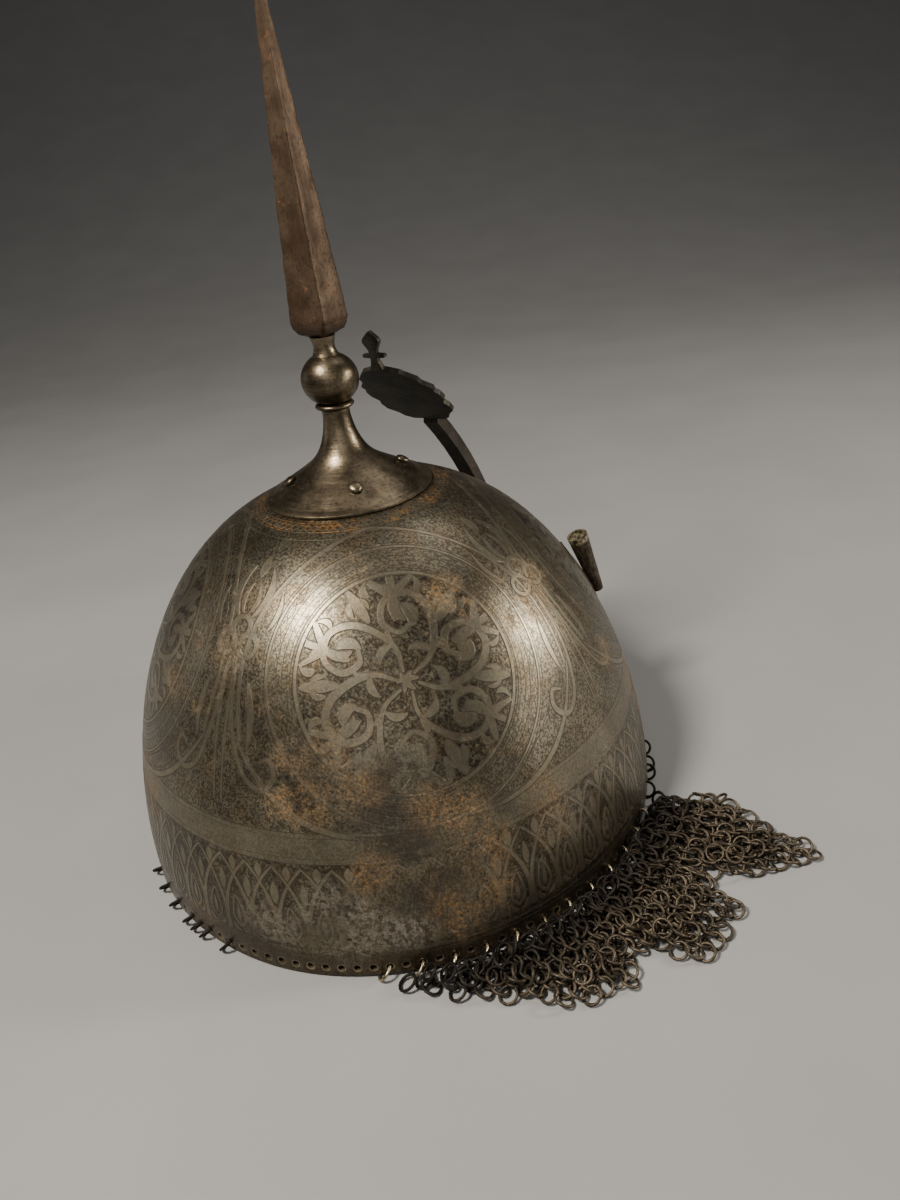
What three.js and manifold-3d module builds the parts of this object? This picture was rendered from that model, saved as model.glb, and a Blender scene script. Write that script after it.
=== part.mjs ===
import * as THREE from 'three';
import { mergeVertices } from 'three/addons/utils/BufferGeometryUtils.js';
import Module from 'manifold-3d';

// A kulah khud: a round iron skull with a spiked finial, two plume tubes, a sliding nasal
// and the remains of a mail curtain linked through holes along the rim.
// Millimetres, +Z up, the brow faces -Y and the surface it stands on is z = 0.

// Skull bowl
const BOWL_R = 100;
const BOWL_H = 129.7;
const BOWL_WALL = 1.2;
const BOWL_SIDES = 60;
const CROWN_POWER = 1.821;
const SIDE_POWER = 2.467;
const OUTER_ROWS = 11;
const INNER_ROWS = 8;
const SEAT_GAP = 0.3;

// Holes for the mail, a little above the rim's edge
const HOLE_COUNT = 120;
const HOLE_R = 1.2;
const HOLE_RISE = 3;

// Mail rings
const RING_R = 2.9;
const RING_WIRE_R = 0.5;
const RING_SIDES = 10;
const RING_WIRE_SIDES = 5;
// How a ring hangs through its hole: outward from the wall, back along the rim, down from
// the hole, and its two leans
const RING_OUT = 0.6;
const RING_BACK = 1.93;
const RING_DROP = 1.9;
const RING_LEAN = THREE.MathUtils.degToRad(43.7);
const RING_TURN = THREE.MathUtils.degToRad(-8.7);
// Half a turn holds sixty holes; hole 0 is the first one past the brow, towards +X
const SINGLE_RING_HOLES = [
  -25, -23, -22, -20, -16, -10, -4, 3, 9, 16, 23, 30, 37, 43, 49, 51, 53, 55, 56, 57, 59,
];

// The rim stands on the rings, which pass below it
const RIM_LIFT = RING_R * Math.cos(RING_LEAN) * Math.cos(RING_TURN) + RING_WIRE_R
  + RING_DROP - HOLE_RISE;

// Finial: a trumpet foot on the crown, a collar ring, a knop and a square spike
const FINIAL_SIDES = 30;
const FOOT_R = 29;
const FOOT_EDGE = 0.9;
const FOOT_NECK_R = 4.75;
const FOOT_H = 25.3;
const COLLAR_R = 6.6;
const COLLAR_H = 2;
const KNOP_R = 9.65;
const KNOP_SQUASH = 0.92;
const KNOP_NECK_R = 3.7;
const KNOP_FOOT_R = 5.6;
const KNOP_NECK_H = 14;
const SPIKE_HALF = 9.45;
const SPIKE_H = 105;
const SPIKE_CHAMFER = 6;
const SPIKE_TIP_HALF = 0.7;
const SPIKE_TIP_H = 13;
const SPIKE_SHOULDER_HALF = 1.7;

// Domed rivets
const RIVET_R = 2.4;
const RIVET_H = 1.3;
const RIVET_SIDES = 12;
const FOOT_RIVET_RADIUS = 20;
const SMALL_RIVET_R = 1.7;
const SMALL_RIVET_H = 1;

// Plume tubes on leaf-shaped plates, one on each side of the brow
const PLUME_ANGLE = THREE.MathUtils.degToRad(40);
const PLUME_TOP_R = 4.2;
const PLUME_FOOT_R = 2.2;
const PLUME_FOOT_OUT = 5;
const PLUME_FOOT_RISE = 60.1;
const PLUME_TOP_OUT = 9;
const PLUME_H = 26;
const PLUME_LIP = 0.7;
const PLUME_RECESS = 1.2;
const PLUME_RIB = 2.2;
const PLATE_THICK = 1;
const PLATE_HALF_W = 11;
const PLATE_LOW = 10;
const PLATE_H = 35;

// Nasal: a square bar bent to a circle whose centre lies behind the brow. BAR_OUT is how
// far the middle of the bar stands before the rim
const ARC_R = 168;
const BAR_OUT = 4;
const ARC_BACK = ARC_R - BOWL_R - BAR_OUT;
const ARC_RISE = 18.5;
const BAR_W = 6.6;
const BAR_T = 5;
const BAR_END_DEG = 44.2;
const BAR_STEPS = 12;
const TAB_T = 2.1;
const TAB_L = 13;
const TERMINAL_DEG = -6.3;
const TERMINAL_HALF_W = 8;
const TERMINAL_T = 2.4;
const LEAF_T = 1.8;
const LEAF_TILT = THREE.MathUtils.degToRad(47.7);
const STEM_TILT = THREE.MathUtils.degToRad(7);
const LEAF_HALF_W = 16.5;
const LEAF_L = 39;
const STEM_L = 13;
const STEM_BEND = 3;

// Bracket that holds the bar against the brow
const BRACKET_LOW = 30;
const BRACKET_H = 12;
const BRACKET_WALL = 2.2;
const BRACKET_CLEAR = 0.35;
const BRACKET_PLATE = 1.8;
const BRACKET_EAR_HALF = 15;

// Mail remnant that lies on the surface beside the rim
const MAIL_THICK = 7.5;
const MAIL_FULL_REACH = 14;
const MAIL_STEPS = 3;
const MAIL_FOLD = 0.16;
const MAIL_LOOP_HOLES = [-50, -48, -46, -44, -42, -40, -38, -36, -34, -32, -30, -28];
const MAIL_REACH = 60;
// Each row is one stretch of the ragged edge: where it is linked along the rim and where
// its free edge lies, both in degrees from the brow, and its reach as a share of MAIL_REACH
const MAIL_EDGE = [
  { root: -149.4, tip: -149.4, share: 0.05 },
  { root: -141, tip: -140.3, share: 0.17 },
  { root: -131.5, tip: -130.3, share: 0.3 },
  { root: -125, tip: -123.7, share: 0.48 },
  { root: -115.5, tip: -114.2, share: 0.57 },
  { root: -111, tip: -109.8, share: 0.43 },
  { root: -106.5, tip: -105.5, share: 0.72 },
  { root: -97.5, tip: -96.6, share: 0.72 },
  { root: -94, tip: -93.4, share: 0.45 },
  { root: -90, tip: -88.9, share: 0.74 },
  { root: -86.5, tip: -84.8, share: 0.97 },
  { root: -85, tip: -83.2, share: 1 },
  { root: -83, tip: -81, share: 0.76 },
  { root: -80.4, tip: -75.3, share: 0.5 },
  { root: -79, tip: -76.3, share: 0.27 },
];
// Height of the bundle across its reach, as a share of MAIL_THICK
const MAIL_SECTION = [
  { across: 0, height: 0.5 },
  { across: 0.08, height: 1 },
  { across: 0.28, height: 0.82 },
  { across: 0.52, height: 0.6 },
  { across: 0.78, height: 0.5 },
  { across: 1, height: 0.28 },
];

const wasm = await Module();
wasm.setup();

const iron = (color, roughness, metalness) =>
  new THREE.MeshStandardMaterial({ color, roughness, metalness });
const SKULL_STEEL = iron(0x6e6450, 0.45, 0.9);
const FINIAL_STEEL = iron(0x6b5c45, 0.4, 0.9);
const SPIKE_STEEL = iron(0x5f4632, 0.5, 0.8);
const DARK_IRON = iron(0x2a2622, 0.6, 0.7);
const MAIL_IRON = iron(0x463c30, 0.5, 0.85);

// One closed body with shared corners and outward faces, from any closed geometry
function closed(geometry) {
  const bare = geometry.clone();
  bare.deleteAttribute('normal');
  bare.deleteAttribute('uv');
  const merged = mergeVertices(bare, 1e-4);
  const corners = merged.index.array;
  const place = merged.attributes.position;
  const a = new THREE.Vector3();
  const b = new THREE.Vector3();
  const c = new THREE.Vector3();
  const kept = [];
  let volume = 0;
  for (let i = 0; i < corners.length; i += 3) {
    const [p, q, r] = corners.slice(i, i + 3);
    if (p === q || q === r || r === p) continue;
    kept.push(p, q, r);
    a.fromBufferAttribute(place, p);
    b.fromBufferAttribute(place, q);
    c.fromBufferAttribute(place, r);
    volume += a.dot(b.cross(c));
  }
  if (volume < 0) kept.reverse();
  merged.setIndex(kept);
  return merged;
}

function toSolid(geometry) {
  const body = closed(geometry);
  return new wasm.Manifold(new wasm.Mesh({
    numProp: 3,
    vertProperties: new Float32Array(body.attributes.position.array),
    triVerts: new Uint32Array(body.index.array),
  }));
}

function fromSolid(solid) {
  const mesh = solid.getMesh();
  const geometry = new THREE.BufferGeometry();
  geometry.setAttribute('position', new THREE.BufferAttribute(mesh.vertProperties, 3));
  geometry.setIndex(new THREE.BufferAttribute(mesh.triVerts, 1));
  return geometry;
}

const part = new THREE.Group();

function addPiece(name, geometry, material, into = part) {
  const flat = geometry.toNonIndexed();
  flat.computeVertexNormals();
  const mesh = new THREE.Mesh(flat, material);
  mesh.name = name;
  into.add(mesh);
}

// A body through a row of outlines; each one is a list of Vector2 that place() puts in space
function loft(stations) {
  const count = stations[0].outline.length;
  const position = stations.flatMap(({ outline, place }) =>
    outline.flatMap((point) => place(point).toArray()));
  const index = [];
  for (let row = 0; row + 1 < stations.length; row += 1) {
    for (let k = 0; k < count; k += 1) {
      const here = row * count + k;
      const beside = row * count + ((k + 1) % count);
      index.push(here, beside, here + count);
      index.push(beside, beside + count, here + count);
    }
  }
  const last = (stations.length - 1) * count;
  const startCap = THREE.ShapeUtils.triangulateShape(stations[0].outline, []);
  const endCap = THREE.ShapeUtils.triangulateShape(stations.at(-1).outline, []);
  startCap.forEach(([p, q, r]) => index.push(r, q, p));
  endCap.forEach(([p, q, r]) => index.push(last + p, last + q, last + r));
  const geometry = new THREE.BufferGeometry();
  geometry.setAttribute('position', new THREE.Float32BufferAttribute(position, 3));
  geometry.setIndex(index);
  return closed(geometry);
}

const rectangle = (halfW, low, high) => [
  new THREE.Vector2(-halfW, low),
  new THREE.Vector2(halfW, low),
  new THREE.Vector2(halfW, high),
  new THREE.Vector2(-halfW, high),
];

// A turned body about Z from [radius, height] pairs
function turned(profile, sides) {
  const points = profile.map(([radius, height]) => new THREE.Vector2(radius, height));
  return new THREE.LatheGeometry(points, sides).rotateX(Math.PI / 2);
}

// The skull's outline: a flattened round crown over nearly upright sides
const domeRadius = (rise, outset = 0) =>
  (BOWL_R + outset) * Math.pow(
    Math.max(0, 1 - Math.pow(rise / (BOWL_H + outset), CROWN_POWER)), 1 / SIDE_POWER);

const domeRise = (radius, outset = 0) =>
  (BOWL_H + outset) * Math.pow(
    Math.max(0, 1 - Math.pow(radius / (BOWL_R + outset), SIDE_POWER)), 1 / CROWN_POWER);

function domeProfile(outset, rows) {
  const profile = [];
  for (let i = 0; i <= rows; i += 1) {
    const turn = (i / rows) * Math.PI / 2;
    const rise = (BOWL_H + outset) * Math.pow(Math.sin(turn), 2 / CROWN_POWER);
    const radius = (BOWL_R + outset) * Math.pow(Math.cos(turn), 2 / SIDE_POWER);
    profile.push([i === rows ? 0 : radius, RIM_LIFT + rise]);
  }
  return profile;
}

const domeBody = (outset) => toSolid(turned(
  [[0, RIM_LIFT], ...domeProfile(outset, OUTER_ROWS + INNER_ROWS)], BOWL_SIDES));

// A rim hole's turn from the brow, towards +X
const holeAngle = (hole) => (hole + 0.5) * 2 * Math.PI / HOLE_COUNT;

function skullBowl() {
  const outer = domeProfile(0, OUTER_ROWS);
  const inner = domeProfile(-BOWL_WALL, INNER_ROWS).reverse();
  const shell = toSolid(turned([...inner, ...outer], BOWL_SIDES));
  const drills = [];
  for (let hole = 0; hole < HOLE_COUNT; hole += 1) {
    const drill = new THREE.CylinderGeometry(HOLE_R, HOLE_R, BOWL_WALL * 6, 6);
    drill.rotateY(Math.PI / 6);
    drill.translate(0, -(BOWL_R - BOWL_WALL / 2), RIM_LIFT + HOLE_RISE);
    drill.rotateZ(holeAngle(hole));
    drills.push(toSolid(drill));
  }
  return fromSolid(shell.subtract(wasm.Manifold.union(drills)));
}

// A mail ring through one rim hole
function rimRing(hole) {
  const outward = new THREE.Vector3(Math.sin(RING_TURN), -Math.cos(RING_TURN), 0);
  const up = new THREE.Vector3(
    Math.cos(RING_TURN) * Math.sin(RING_LEAN),
    Math.sin(RING_TURN) * Math.sin(RING_LEAN),
    Math.cos(RING_LEAN));
  const across = outward.clone().cross(up);
  const ring = new THREE.TorusGeometry(RING_R, RING_WIRE_R, RING_WIRE_SIDES, RING_SIDES);
  ring.applyMatrix4(new THREE.Matrix4().makeBasis(outward, up, across));
  ring.translate(
    -RING_BACK,
    -(BOWL_R - BOWL_WALL / 2 + RING_OUT),
    RIM_LIFT + HOLE_RISE - RING_DROP);
  return ring.rotateZ(holeAngle(hole));
}

// Finial
const CROWN_Z = RIM_LIFT + BOWL_H;
const FOOT_TOP = CROWN_Z + FOOT_H;
const COLLAR_LOW = FOOT_TOP + SEAT_GAP;
const COLLAR_TOP = COLLAR_LOW + COLLAR_H;
const KNOP_LOW = COLLAR_TOP + SEAT_GAP;
const KNOP_MID = KNOP_LOW + KNOP_SQUASH * Math.sqrt(KNOP_R ** 2 - KNOP_FOOT_R ** 2);
const KNOP_TOP = KNOP_MID + KNOP_NECK_H;
const SPIKE_LOW = KNOP_TOP + SEAT_GAP;
// The trumpet's outline above its flange, as shares of its radius and height
const TRUMPET = [
  { radius: 0.93, height: 0 },
  { radius: 0.76, height: 0.105 },
  { radius: 0.585, height: 0.215 },
  { radius: 0.42, height: 0.33 },
  { radius: 0.315, height: 0.44 },
  { radius: 0.24, height: 0.58 },
  { radius: 0.19, height: 0.74 },
  { radius: 0.164, height: 0.9 },
  { radius: 0.164, height: 1 },
];

const footEdgeZ = RIM_LIFT + domeRise(FOOT_R) + SEAT_GAP + FOOT_EDGE;
const trumpetCurve = new THREE.SplineCurve(TRUMPET.map(({ radius, height }) =>
  new THREE.Vector2(
    Math.max(radius * FOOT_R, FOOT_NECK_R),
    THREE.MathUtils.lerp(footEdgeZ + 1, FOOT_TOP, height))));

function finialFoot() {
  const under = [0, 0.3, 0.55, 0.8, 1].map((share) =>
    [share * FOOT_R, RIM_LIFT + domeRise(share * FOOT_R) + SEAT_GAP]);
  const over = trumpetCurve.getPoints(12).map((point) => [point.x, point.y]);
  return turned([...under, [FOOT_R, footEdgeZ], ...over, [0, FOOT_TOP]], FINIAL_SIDES);
}

function finialCollar() {
  const middle = (COLLAR_LOW + COLLAR_TOP) / 2;
  const bead = [-1, -0.5, 0, 0.5, 1].map((turn) => {
    const bulge = Math.cos(turn * Math.PI / 2);
    return [
      FOOT_NECK_R + (COLLAR_R - FOOT_NECK_R) * bulge,
      middle + Math.sin(turn * Math.PI / 2) * COLLAR_H / 2,
    ];
  });
  return turned([[0, COLLAR_LOW], ...bead, [0, COLLAR_TOP]], 20);
}

function finialKnop() {
  const ball = [];
  const lowTurn = -Math.acos(KNOP_FOOT_R / KNOP_R);
  const highTurn = Math.acos(KNOP_NECK_R / KNOP_R);
  for (let i = 0; i <= 9; i += 1) {
    const turn = THREE.MathUtils.lerp(lowTurn, highTurn, i / 9);
    ball.push([KNOP_R * Math.cos(turn), KNOP_MID + KNOP_R * Math.sin(turn) * KNOP_SQUASH]);
  }
  const neckLow = ball.at(-1)[1];
  return turned([
    [0, KNOP_LOW],
    ...ball,
    [KNOP_NECK_R * 0.95, THREE.MathUtils.lerp(neckLow, KNOP_TOP, 0.45)],
    [KNOP_NECK_R * 1.15, KNOP_TOP],
    [0, KNOP_TOP],
  ], 24);
}

function spike() {
  const square = (half) => [0, 1, 2, 3].map((corner) => new THREE.Vector2(
    half * Math.cos(corner * Math.PI / 2 + Math.PI / 4),
    half * Math.sin(corner * Math.PI / 2 + Math.PI / 4)));
  const station = (half, z) => ({
    outline: square(half),
    place: (point) => new THREE.Vector3(point.x, point.y, z),
  });
  return loft([
    station(KNOP_NECK_R * 1.2, SPIKE_LOW),
    station(SPIKE_HALF, SPIKE_LOW + SPIKE_CHAMFER),
    station(SPIKE_SHOULDER_HALF, SPIKE_LOW + SPIKE_H - SPIKE_TIP_H),
    station(SPIKE_TIP_HALF, SPIKE_LOW + SPIKE_H),
  ]);
}

// A domed rivet head whose flat underside lies at the origin and faces -Z
function rivetHead(radius, height) {
  const dome = [0, 0.5, 0.8, 1].map((share) =>
    [radius * Math.cos(share * Math.PI / 2), height * (0.3 + 0.7 * Math.sin(share * Math.PI / 2))]);
  dome[dome.length - 1][0] = 0;
  return turned([[0, 0], [radius, 0], ...dome], RIVET_SIDES);
}

function footRivet(index) {
  const pairs = trumpetCurve.getPoints(60);
  const near = pairs.reduce((best, point) =>
    (Math.abs(point.x - FOOT_RIVET_RADIUS) < Math.abs(best.x - FOOT_RIVET_RADIUS) ? point : best));
  const next = pairs[pairs.indexOf(near) + 1];
  const slope = Math.atan2(next.y - near.y, near.x - next.x);
  const head = rivetHead(RIVET_R, RIVET_H);
  const seat = SEAT_GAP + RIVET_R * RIVET_R / (2 * FOOT_RIVET_RADIUS);
  head.translate(0, 0, seat);
  head.rotateX(slope);
  head.translate(0, -near.x, near.y);
  return head.rotateZ(index * Math.PI / 2 + Math.PI / 4);
}

// A shell between two offsets of the dome
const domeShell = (low, high) => domeBody(high).subtract(domeBody(low));

// A leaf-shaped block standing out of the brow, pointed at both ends
function leafBlock(halfW, low, height, depth) {
  const shape = new THREE.Shape();
  shape.moveTo(0, low);
  shape.quadraticCurveTo(halfW * 1.5, low + height * 0.4, halfW * 0.35, low + height * 0.8);
  shape.quadraticCurveTo(halfW * 0.1, low + height * 0.88, 0, low + height);
  shape.quadraticCurveTo(-halfW * 0.1, low + height * 0.88, -halfW * 0.35, low + height * 0.8);
  shape.quadraticCurveTo(-halfW * 1.5, low + height * 0.4, 0, low);
  const block = new THREE.ExtrudeGeometry(shape, {
    depth, bevelEnabled: false, curveSegments: 5,
  });
  return block.rotateX(Math.PI / 2);
}

const PLUME_LOW = RIM_LIFT + PLUME_FOOT_RISE;
const plumeFoot = new THREE.Vector3(0, -(domeRadius(PLUME_FOOT_RISE) + PLUME_FOOT_OUT), PLUME_LOW);
const plumeTop = new THREE.Vector3(
  0, -(domeRadius(PLUME_FOOT_RISE + PLUME_H) + PLUME_TOP_OUT), PLUME_LOW + PLUME_H);

function plumeHolder(angle) {
  const length = plumeFoot.distanceTo(plumeTop);
  const tube = turned([
    [0, 0],
    [PLUME_FOOT_R, 0],
    [PLUME_TOP_R, length],
    [PLUME_TOP_R - PLUME_LIP, length],
    [PLUME_TOP_R - PLUME_LIP, length - PLUME_RECESS],
    [0, length - PLUME_RECESS],
  ], 16);
  const along = plumeTop.clone().sub(plumeFoot).normalize();
  const turn = new THREE.Quaternion().setFromUnitVectors(new THREE.Vector3(0, 0, 1), along);
  tube.applyQuaternion(turn);
  tube.translate(plumeFoot.x, plumeFoot.y, plumeFoot.z);
  const rib = loft([0.06, 0.36].map((share) => {
    const middle = plumeFoot.clone().lerp(plumeTop, share);
    const inner = -domeRadius(middle.z - RIM_LIFT, SEAT_GAP + PLATE_THICK / 2);
    return {
      outline: rectangle(PLUME_RIB / 2, 0, 1),
      place: (point) => new THREE.Vector3(
        point.x, THREE.MathUtils.lerp(middle.y, inner, point.y), middle.z),
    };
  }));
  const plate = toSolid(leafBlock(
    PLATE_HALF_W, PLUME_LOW - PLATE_LOW, PLATE_H, BOWL_R * 2))
    .intersect(domeShell(SEAT_GAP, SEAT_GAP + PLATE_THICK));
  const front = new THREE.BoxGeometry(BOWL_R * 2, BOWL_R * 2, BOWL_H * 2);
  front.translate(0, -BOWL_R, BOWL_H);
  const holder = plate.intersect(toSolid(front)).add(toSolid(tube)).add(toSolid(rib));
  return fromSolid(holder).rotateZ(angle);
}

// A rivet head on the skull, at a height and a sideways place seen from its own front
function skullRivet(side, rise, outset, angle) {
  const radius = domeRadius(rise, outset);
  const slope = Math.atan2(
    domeRadius(rise - 1, outset) - domeRadius(rise + 1, outset), 2);
  const head = rivetHead(SMALL_RIVET_R, SMALL_RIVET_H);
  head.translate(0, 0, SEAT_GAP + SMALL_RIVET_R * SMALL_RIVET_R / (2 * radius));
  head.rotateX(Math.PI / 2 - slope);
  head.translate(0, -radius, RIM_LIFT + rise);
  return head.rotateZ(Math.asin(side / radius) + angle);
}

// Nasal: places along the bent bar, by the angle about the circle's centre
const ARC_Z = RIM_LIFT + ARC_RISE;
function arcPlace(degrees) {
  const turn = THREE.MathUtils.degToRad(degrees);
  return (point) => new THREE.Vector3(
    point.x,
    ARC_BACK - (ARC_R + point.y) * Math.cos(turn),
    ARC_Z + (ARC_R + point.y) * Math.sin(turn));
}

// Places along a straight run that starts at the bar's end, tilted from upright
const leafStart = arcPlace(BAR_END_DEG)(new THREE.Vector2(0, 0));
function leafPlace(run) {
  const bend = THREE.MathUtils.clamp((run - LEAF_L) / STEM_BEND, 0, 1);
  const straight = Math.min(run, LEAF_L);
  const rest = Math.max(0, run - LEAF_L);
  const stemTilt = THREE.MathUtils.lerp(LEAF_TILT, STEM_TILT, 0.5 + 0.5 * bend);
  const tilt = THREE.MathUtils.lerp(LEAF_TILT, STEM_TILT, bend);
  const y = leafStart.y + straight * Math.sin(LEAF_TILT) + rest * Math.sin(stemTilt);
  const z = leafStart.z + straight * Math.cos(LEAF_TILT) + rest * Math.cos(stemTilt);
  return (point) => new THREE.Vector3(
    point.x, y - point.y * Math.cos(tilt), z + point.y * Math.sin(tilt));
}

// The raised nasal stops where its terminal's shoulder meets the bracket
const shoulderDeg = THREE.MathUtils.radToDeg(Math.asin(
  (BRACKET_LOW - ARC_RISE - SEAT_GAP) / (ARC_R + TERMINAL_T / 2)));

// The terminal's half width up its length, as shares of TERMINAL_HALF_W
const TERMINAL = [
  { up: 0, half: 0.12 },
  { up: 0.12, half: 0.55 },
  { up: 0.3, half: 0.95 },
  { up: 0.5, half: 1 },
  { up: 0.7, half: 0.8 },
  { up: 0.84, half: 0.55 },
  { up: 0.92, half: 0.72 },
  { up: 1, half: 0.72 },
];

function nasalBar() {
  const stations = TERMINAL.map(({ up, half }) => ({
    outline: rectangle(half * TERMINAL_HALF_W, -TERMINAL_T / 2, TERMINAL_T / 2),
    place: arcPlace(THREE.MathUtils.lerp(TERMINAL_DEG, shoulderDeg, up)),
  }));
  const barLow = shoulderDeg + 0.02;
  const barHigh = BAR_END_DEG - 0.5;
  for (let i = 0; i <= BAR_STEPS; i += 1) {
    stations.push({
      outline: rectangle(BAR_W / 2, -BAR_T / 2, BAR_T / 2),
      place: arcPlace(THREE.MathUtils.lerp(barLow, barHigh, i / BAR_STEPS)),
    });
  }
  const tabLow = BAR_T / 2 - TAB_T;
  stations.push({
    outline: rectangle(BAR_W / 2, tabLow, BAR_T / 2),
    place: leafPlace(0),
  });
  stations.push({
    outline: rectangle(BAR_W / 2 * 0.9, tabLow, BAR_T / 2 - 0.4),
    place: leafPlace(TAB_L),
  });
  return loft(stations);
}

// The leaf's ragged outline up its length, as shares of LEAF_L and LEAF_HALF_W
const LEAF = [
  { up: 0, half: 0.43 },
  { up: 0.05, half: 0.62 },
  { up: 0.12, half: 0.7 },
  { up: 0.2, half: 0.91 },
  { up: 0.3, half: 0.94 },
  { up: 0.37, half: 0.88 },
  { up: 0.45, half: 0.99 },
  { up: 0.54, half: 1 },
  { up: 0.6, half: 0.93 },
  { up: 0.66, half: 0.97 },
  { up: 0.75, half: 0.78 },
  { up: 0.82, half: 0.77 },
  { up: 0.9, half: 0.58 },
  { up: 0.95, half: 0.48 },
  { up: 1, half: 0.16 },
];
// The stem with its crossbar and pointed knop, as shares of STEM_L and in half widths
const STEM = [
  { up: 0.2, half: 1.5 },
  { up: 0.28, half: 1.5 },
  { up: 0.3, half: 4.6 },
  { up: 0.38, half: 4.6 },
  { up: 0.4, half: 1.4 },
  { up: 0.5, half: 1.7 },
  { up: 0.72, half: 3.6 },
  { up: 0.82, half: 3.1 },
  { up: 1, half: 0.4 },
];

function nasalLeaf() {
  const high = BAR_T / 2 - TAB_T - SEAT_GAP;
  const blade = LEAF.map(({ up, half }) => ({
    outline: rectangle(half * LEAF_HALF_W, high - LEAF_T, high),
    place: leafPlace(SEAT_GAP + up * LEAF_L),
  }));
  const stem = STEM.map(({ up, half }) => ({
    outline: rectangle(half, high - LEAF_T, high),
    place: leafPlace(LEAF_L + up * STEM_L),
  }));
  return loft([...blade, ...stem]);
}

function leafRivet(run) {
  const seat = leafPlace(run)(new THREE.Vector2(0, BAR_T / 2 + SEAT_GAP));
  const head = rivetHead(SMALL_RIVET_R, SMALL_RIVET_H);
  head.rotateX(Math.PI / 2 - LEAF_TILT);
  return head.translate(seat.x, seat.y, seat.z);
}

function nasalBracket() {
  const outHalf = BAR_W / 2 + BRACKET_CLEAR + BRACKET_WALL;
  const low = RIM_LIFT + BRACKET_LOW;
  const high = low + BRACKET_H;
  const outer = ARC_R - ARC_BACK + BAR_T / 2 + BRACKET_CLEAR + BRACKET_WALL;
  const block = (halfW, from, to, floor, top) => {
    const box = new THREE.BoxGeometry(2 * halfW, to - from, top - floor);
    return toSolid(box.translate(0, -(from + to) / 2, (floor + top) / 2));
  };
  const body = block(outHalf, BOWL_R / 2, outer, low, high);
  const ears = block(BRACKET_EAR_HALF, BOWL_R / 2, outer, low + 1.5, high - 1.5)
    .intersect(domeBody(SEAT_GAP + BRACKET_PLATE));
  const reach = BAR_T / 2 + BRACKET_CLEAR;
  const channel = loft([-3, 4, 8, 14].map((degrees) => ({
    outline: rectangle(BAR_W / 2 + BRACKET_CLEAR, -reach, reach),
    place: arcPlace(degrees),
  })));
  return fromSolid(body.add(ears).subtract(domeBody(SEAT_GAP)).subtract(toSolid(channel)));
}

// Mail remnant: the woven bundle and the loops that tie it to the rim
function mailCurtain() {
  const stations = [];
  const rootR = BOWL_R + SEAT_GAP;
  const rows = MAIL_EDGE.length - 1;
  for (let step = 0; step <= rows * MAIL_STEPS; step += 1) {
    const from = MAIL_EDGE[Math.min(Math.floor(step / MAIL_STEPS), rows - 1)];
    const to = MAIL_EDGE[MAIL_EDGE.indexOf(from) + 1];
    const share = step / MAIL_STEPS - MAIL_EDGE.indexOf(from);
    const root = THREE.MathUtils.degToRad(THREE.MathUtils.lerp(from.root, to.root, share));
    const tip = THREE.MathUtils.degToRad(THREE.MathUtils.lerp(from.tip, to.tip, share));
    const reach = MAIL_REACH * THREE.MathUtils.lerp(from.share, to.share, share);
    const thick = MAIL_THICK * Math.min(1, 0.35 + 0.65 * reach / MAIL_FULL_REACH);
    const top = MAIL_SECTION.map(({ across, height }, row) => {
      const fold = row === 0 ? 0 : MAIL_FOLD * Math.sin(step * 1.15 + row * 1.7);
      return new THREE.Vector2(across, thick * height * (1 + fold));
    });
    const outline = [new THREE.Vector2(0, 0), new THREE.Vector2(1, 0), ...top.reverse()];
    stations.push({
      outline,
      place: (point) => {
        const radius = rootR + point.x * (reach + BOWL_R - rootR);
        const turn = THREE.MathUtils.lerp(root, tip, point.x);
        return new THREE.Vector3(radius * Math.sin(turn), -radius * Math.cos(turn), point.y);
      },
    });
  }
  const loops = MAIL_LOOP_HOLES.map((hole) => toSolid(rimRing(hole)));
  return fromSolid(loops.reduce((body, loop) => body.add(loop), toSolid(loft(stations))));
}

addPiece('skull_bowl', skullBowl(), SKULL_STEEL);
addPiece('finial_foot', finialFoot(), FINIAL_STEEL);
addPiece('finial_collar', finialCollar(), FINIAL_STEEL);
addPiece('finial_knop', finialKnop(), FINIAL_STEEL);
addPiece('finial_spike', spike(), SPIKE_STEEL);
for (let i = 0; i < 4; i += 1) {
  addPiece(`finial_rivet_${i + 1}`, footRivet(i), FINIAL_STEEL);
}

[['right', PLUME_ANGLE], ['left', -PLUME_ANGLE]].forEach(([side, angle]) => {
  addPiece(`plume_holder_${side}`, plumeHolder(angle), DARK_IRON);
});

addPiece('nasal_bracket', nasalBracket(), DARK_IRON);
[['right', 1], ['left', -1]].forEach(([side, sign]) => {
  const across = sign * (BAR_W / 2 + BRACKET_CLEAR + BRACKET_WALL + BRACKET_EAR_HALF) / 2;
  const head = skullRivet(across, BRACKET_LOW + BRACKET_H / 2, SEAT_GAP + BRACKET_PLATE, 0);
  addPiece(`bracket_rivet_${side}`, head, DARK_IRON);
});

const nasal = new THREE.Group();
addPiece('nasal_bar', nasalBar(), DARK_IRON, nasal);
addPiece('nasal_leaf', nasalLeaf(), DARK_IRON, nasal);
addPiece('nasal_rivet_low', leafRivet(TAB_L * 0.3), DARK_IRON, nasal);
addPiece('nasal_rivet_high', leafRivet(TAB_L * 0.75), DARK_IRON, nasal);
part.add(nasal);

addPiece('mail_curtain', mailCurtain(), MAIL_IRON);
SINGLE_RING_HOLES.forEach((hole, index) => {
  addPiece(`rim_ring_${index + 1}`, rimRing(hole), MAIL_IRON);
});

export default part;
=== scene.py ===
import math

import bmesh
import bpy
import numpy as np
from mathutils import Matrix, Vector
from mathutils.bvhtree import BVHTree


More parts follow.
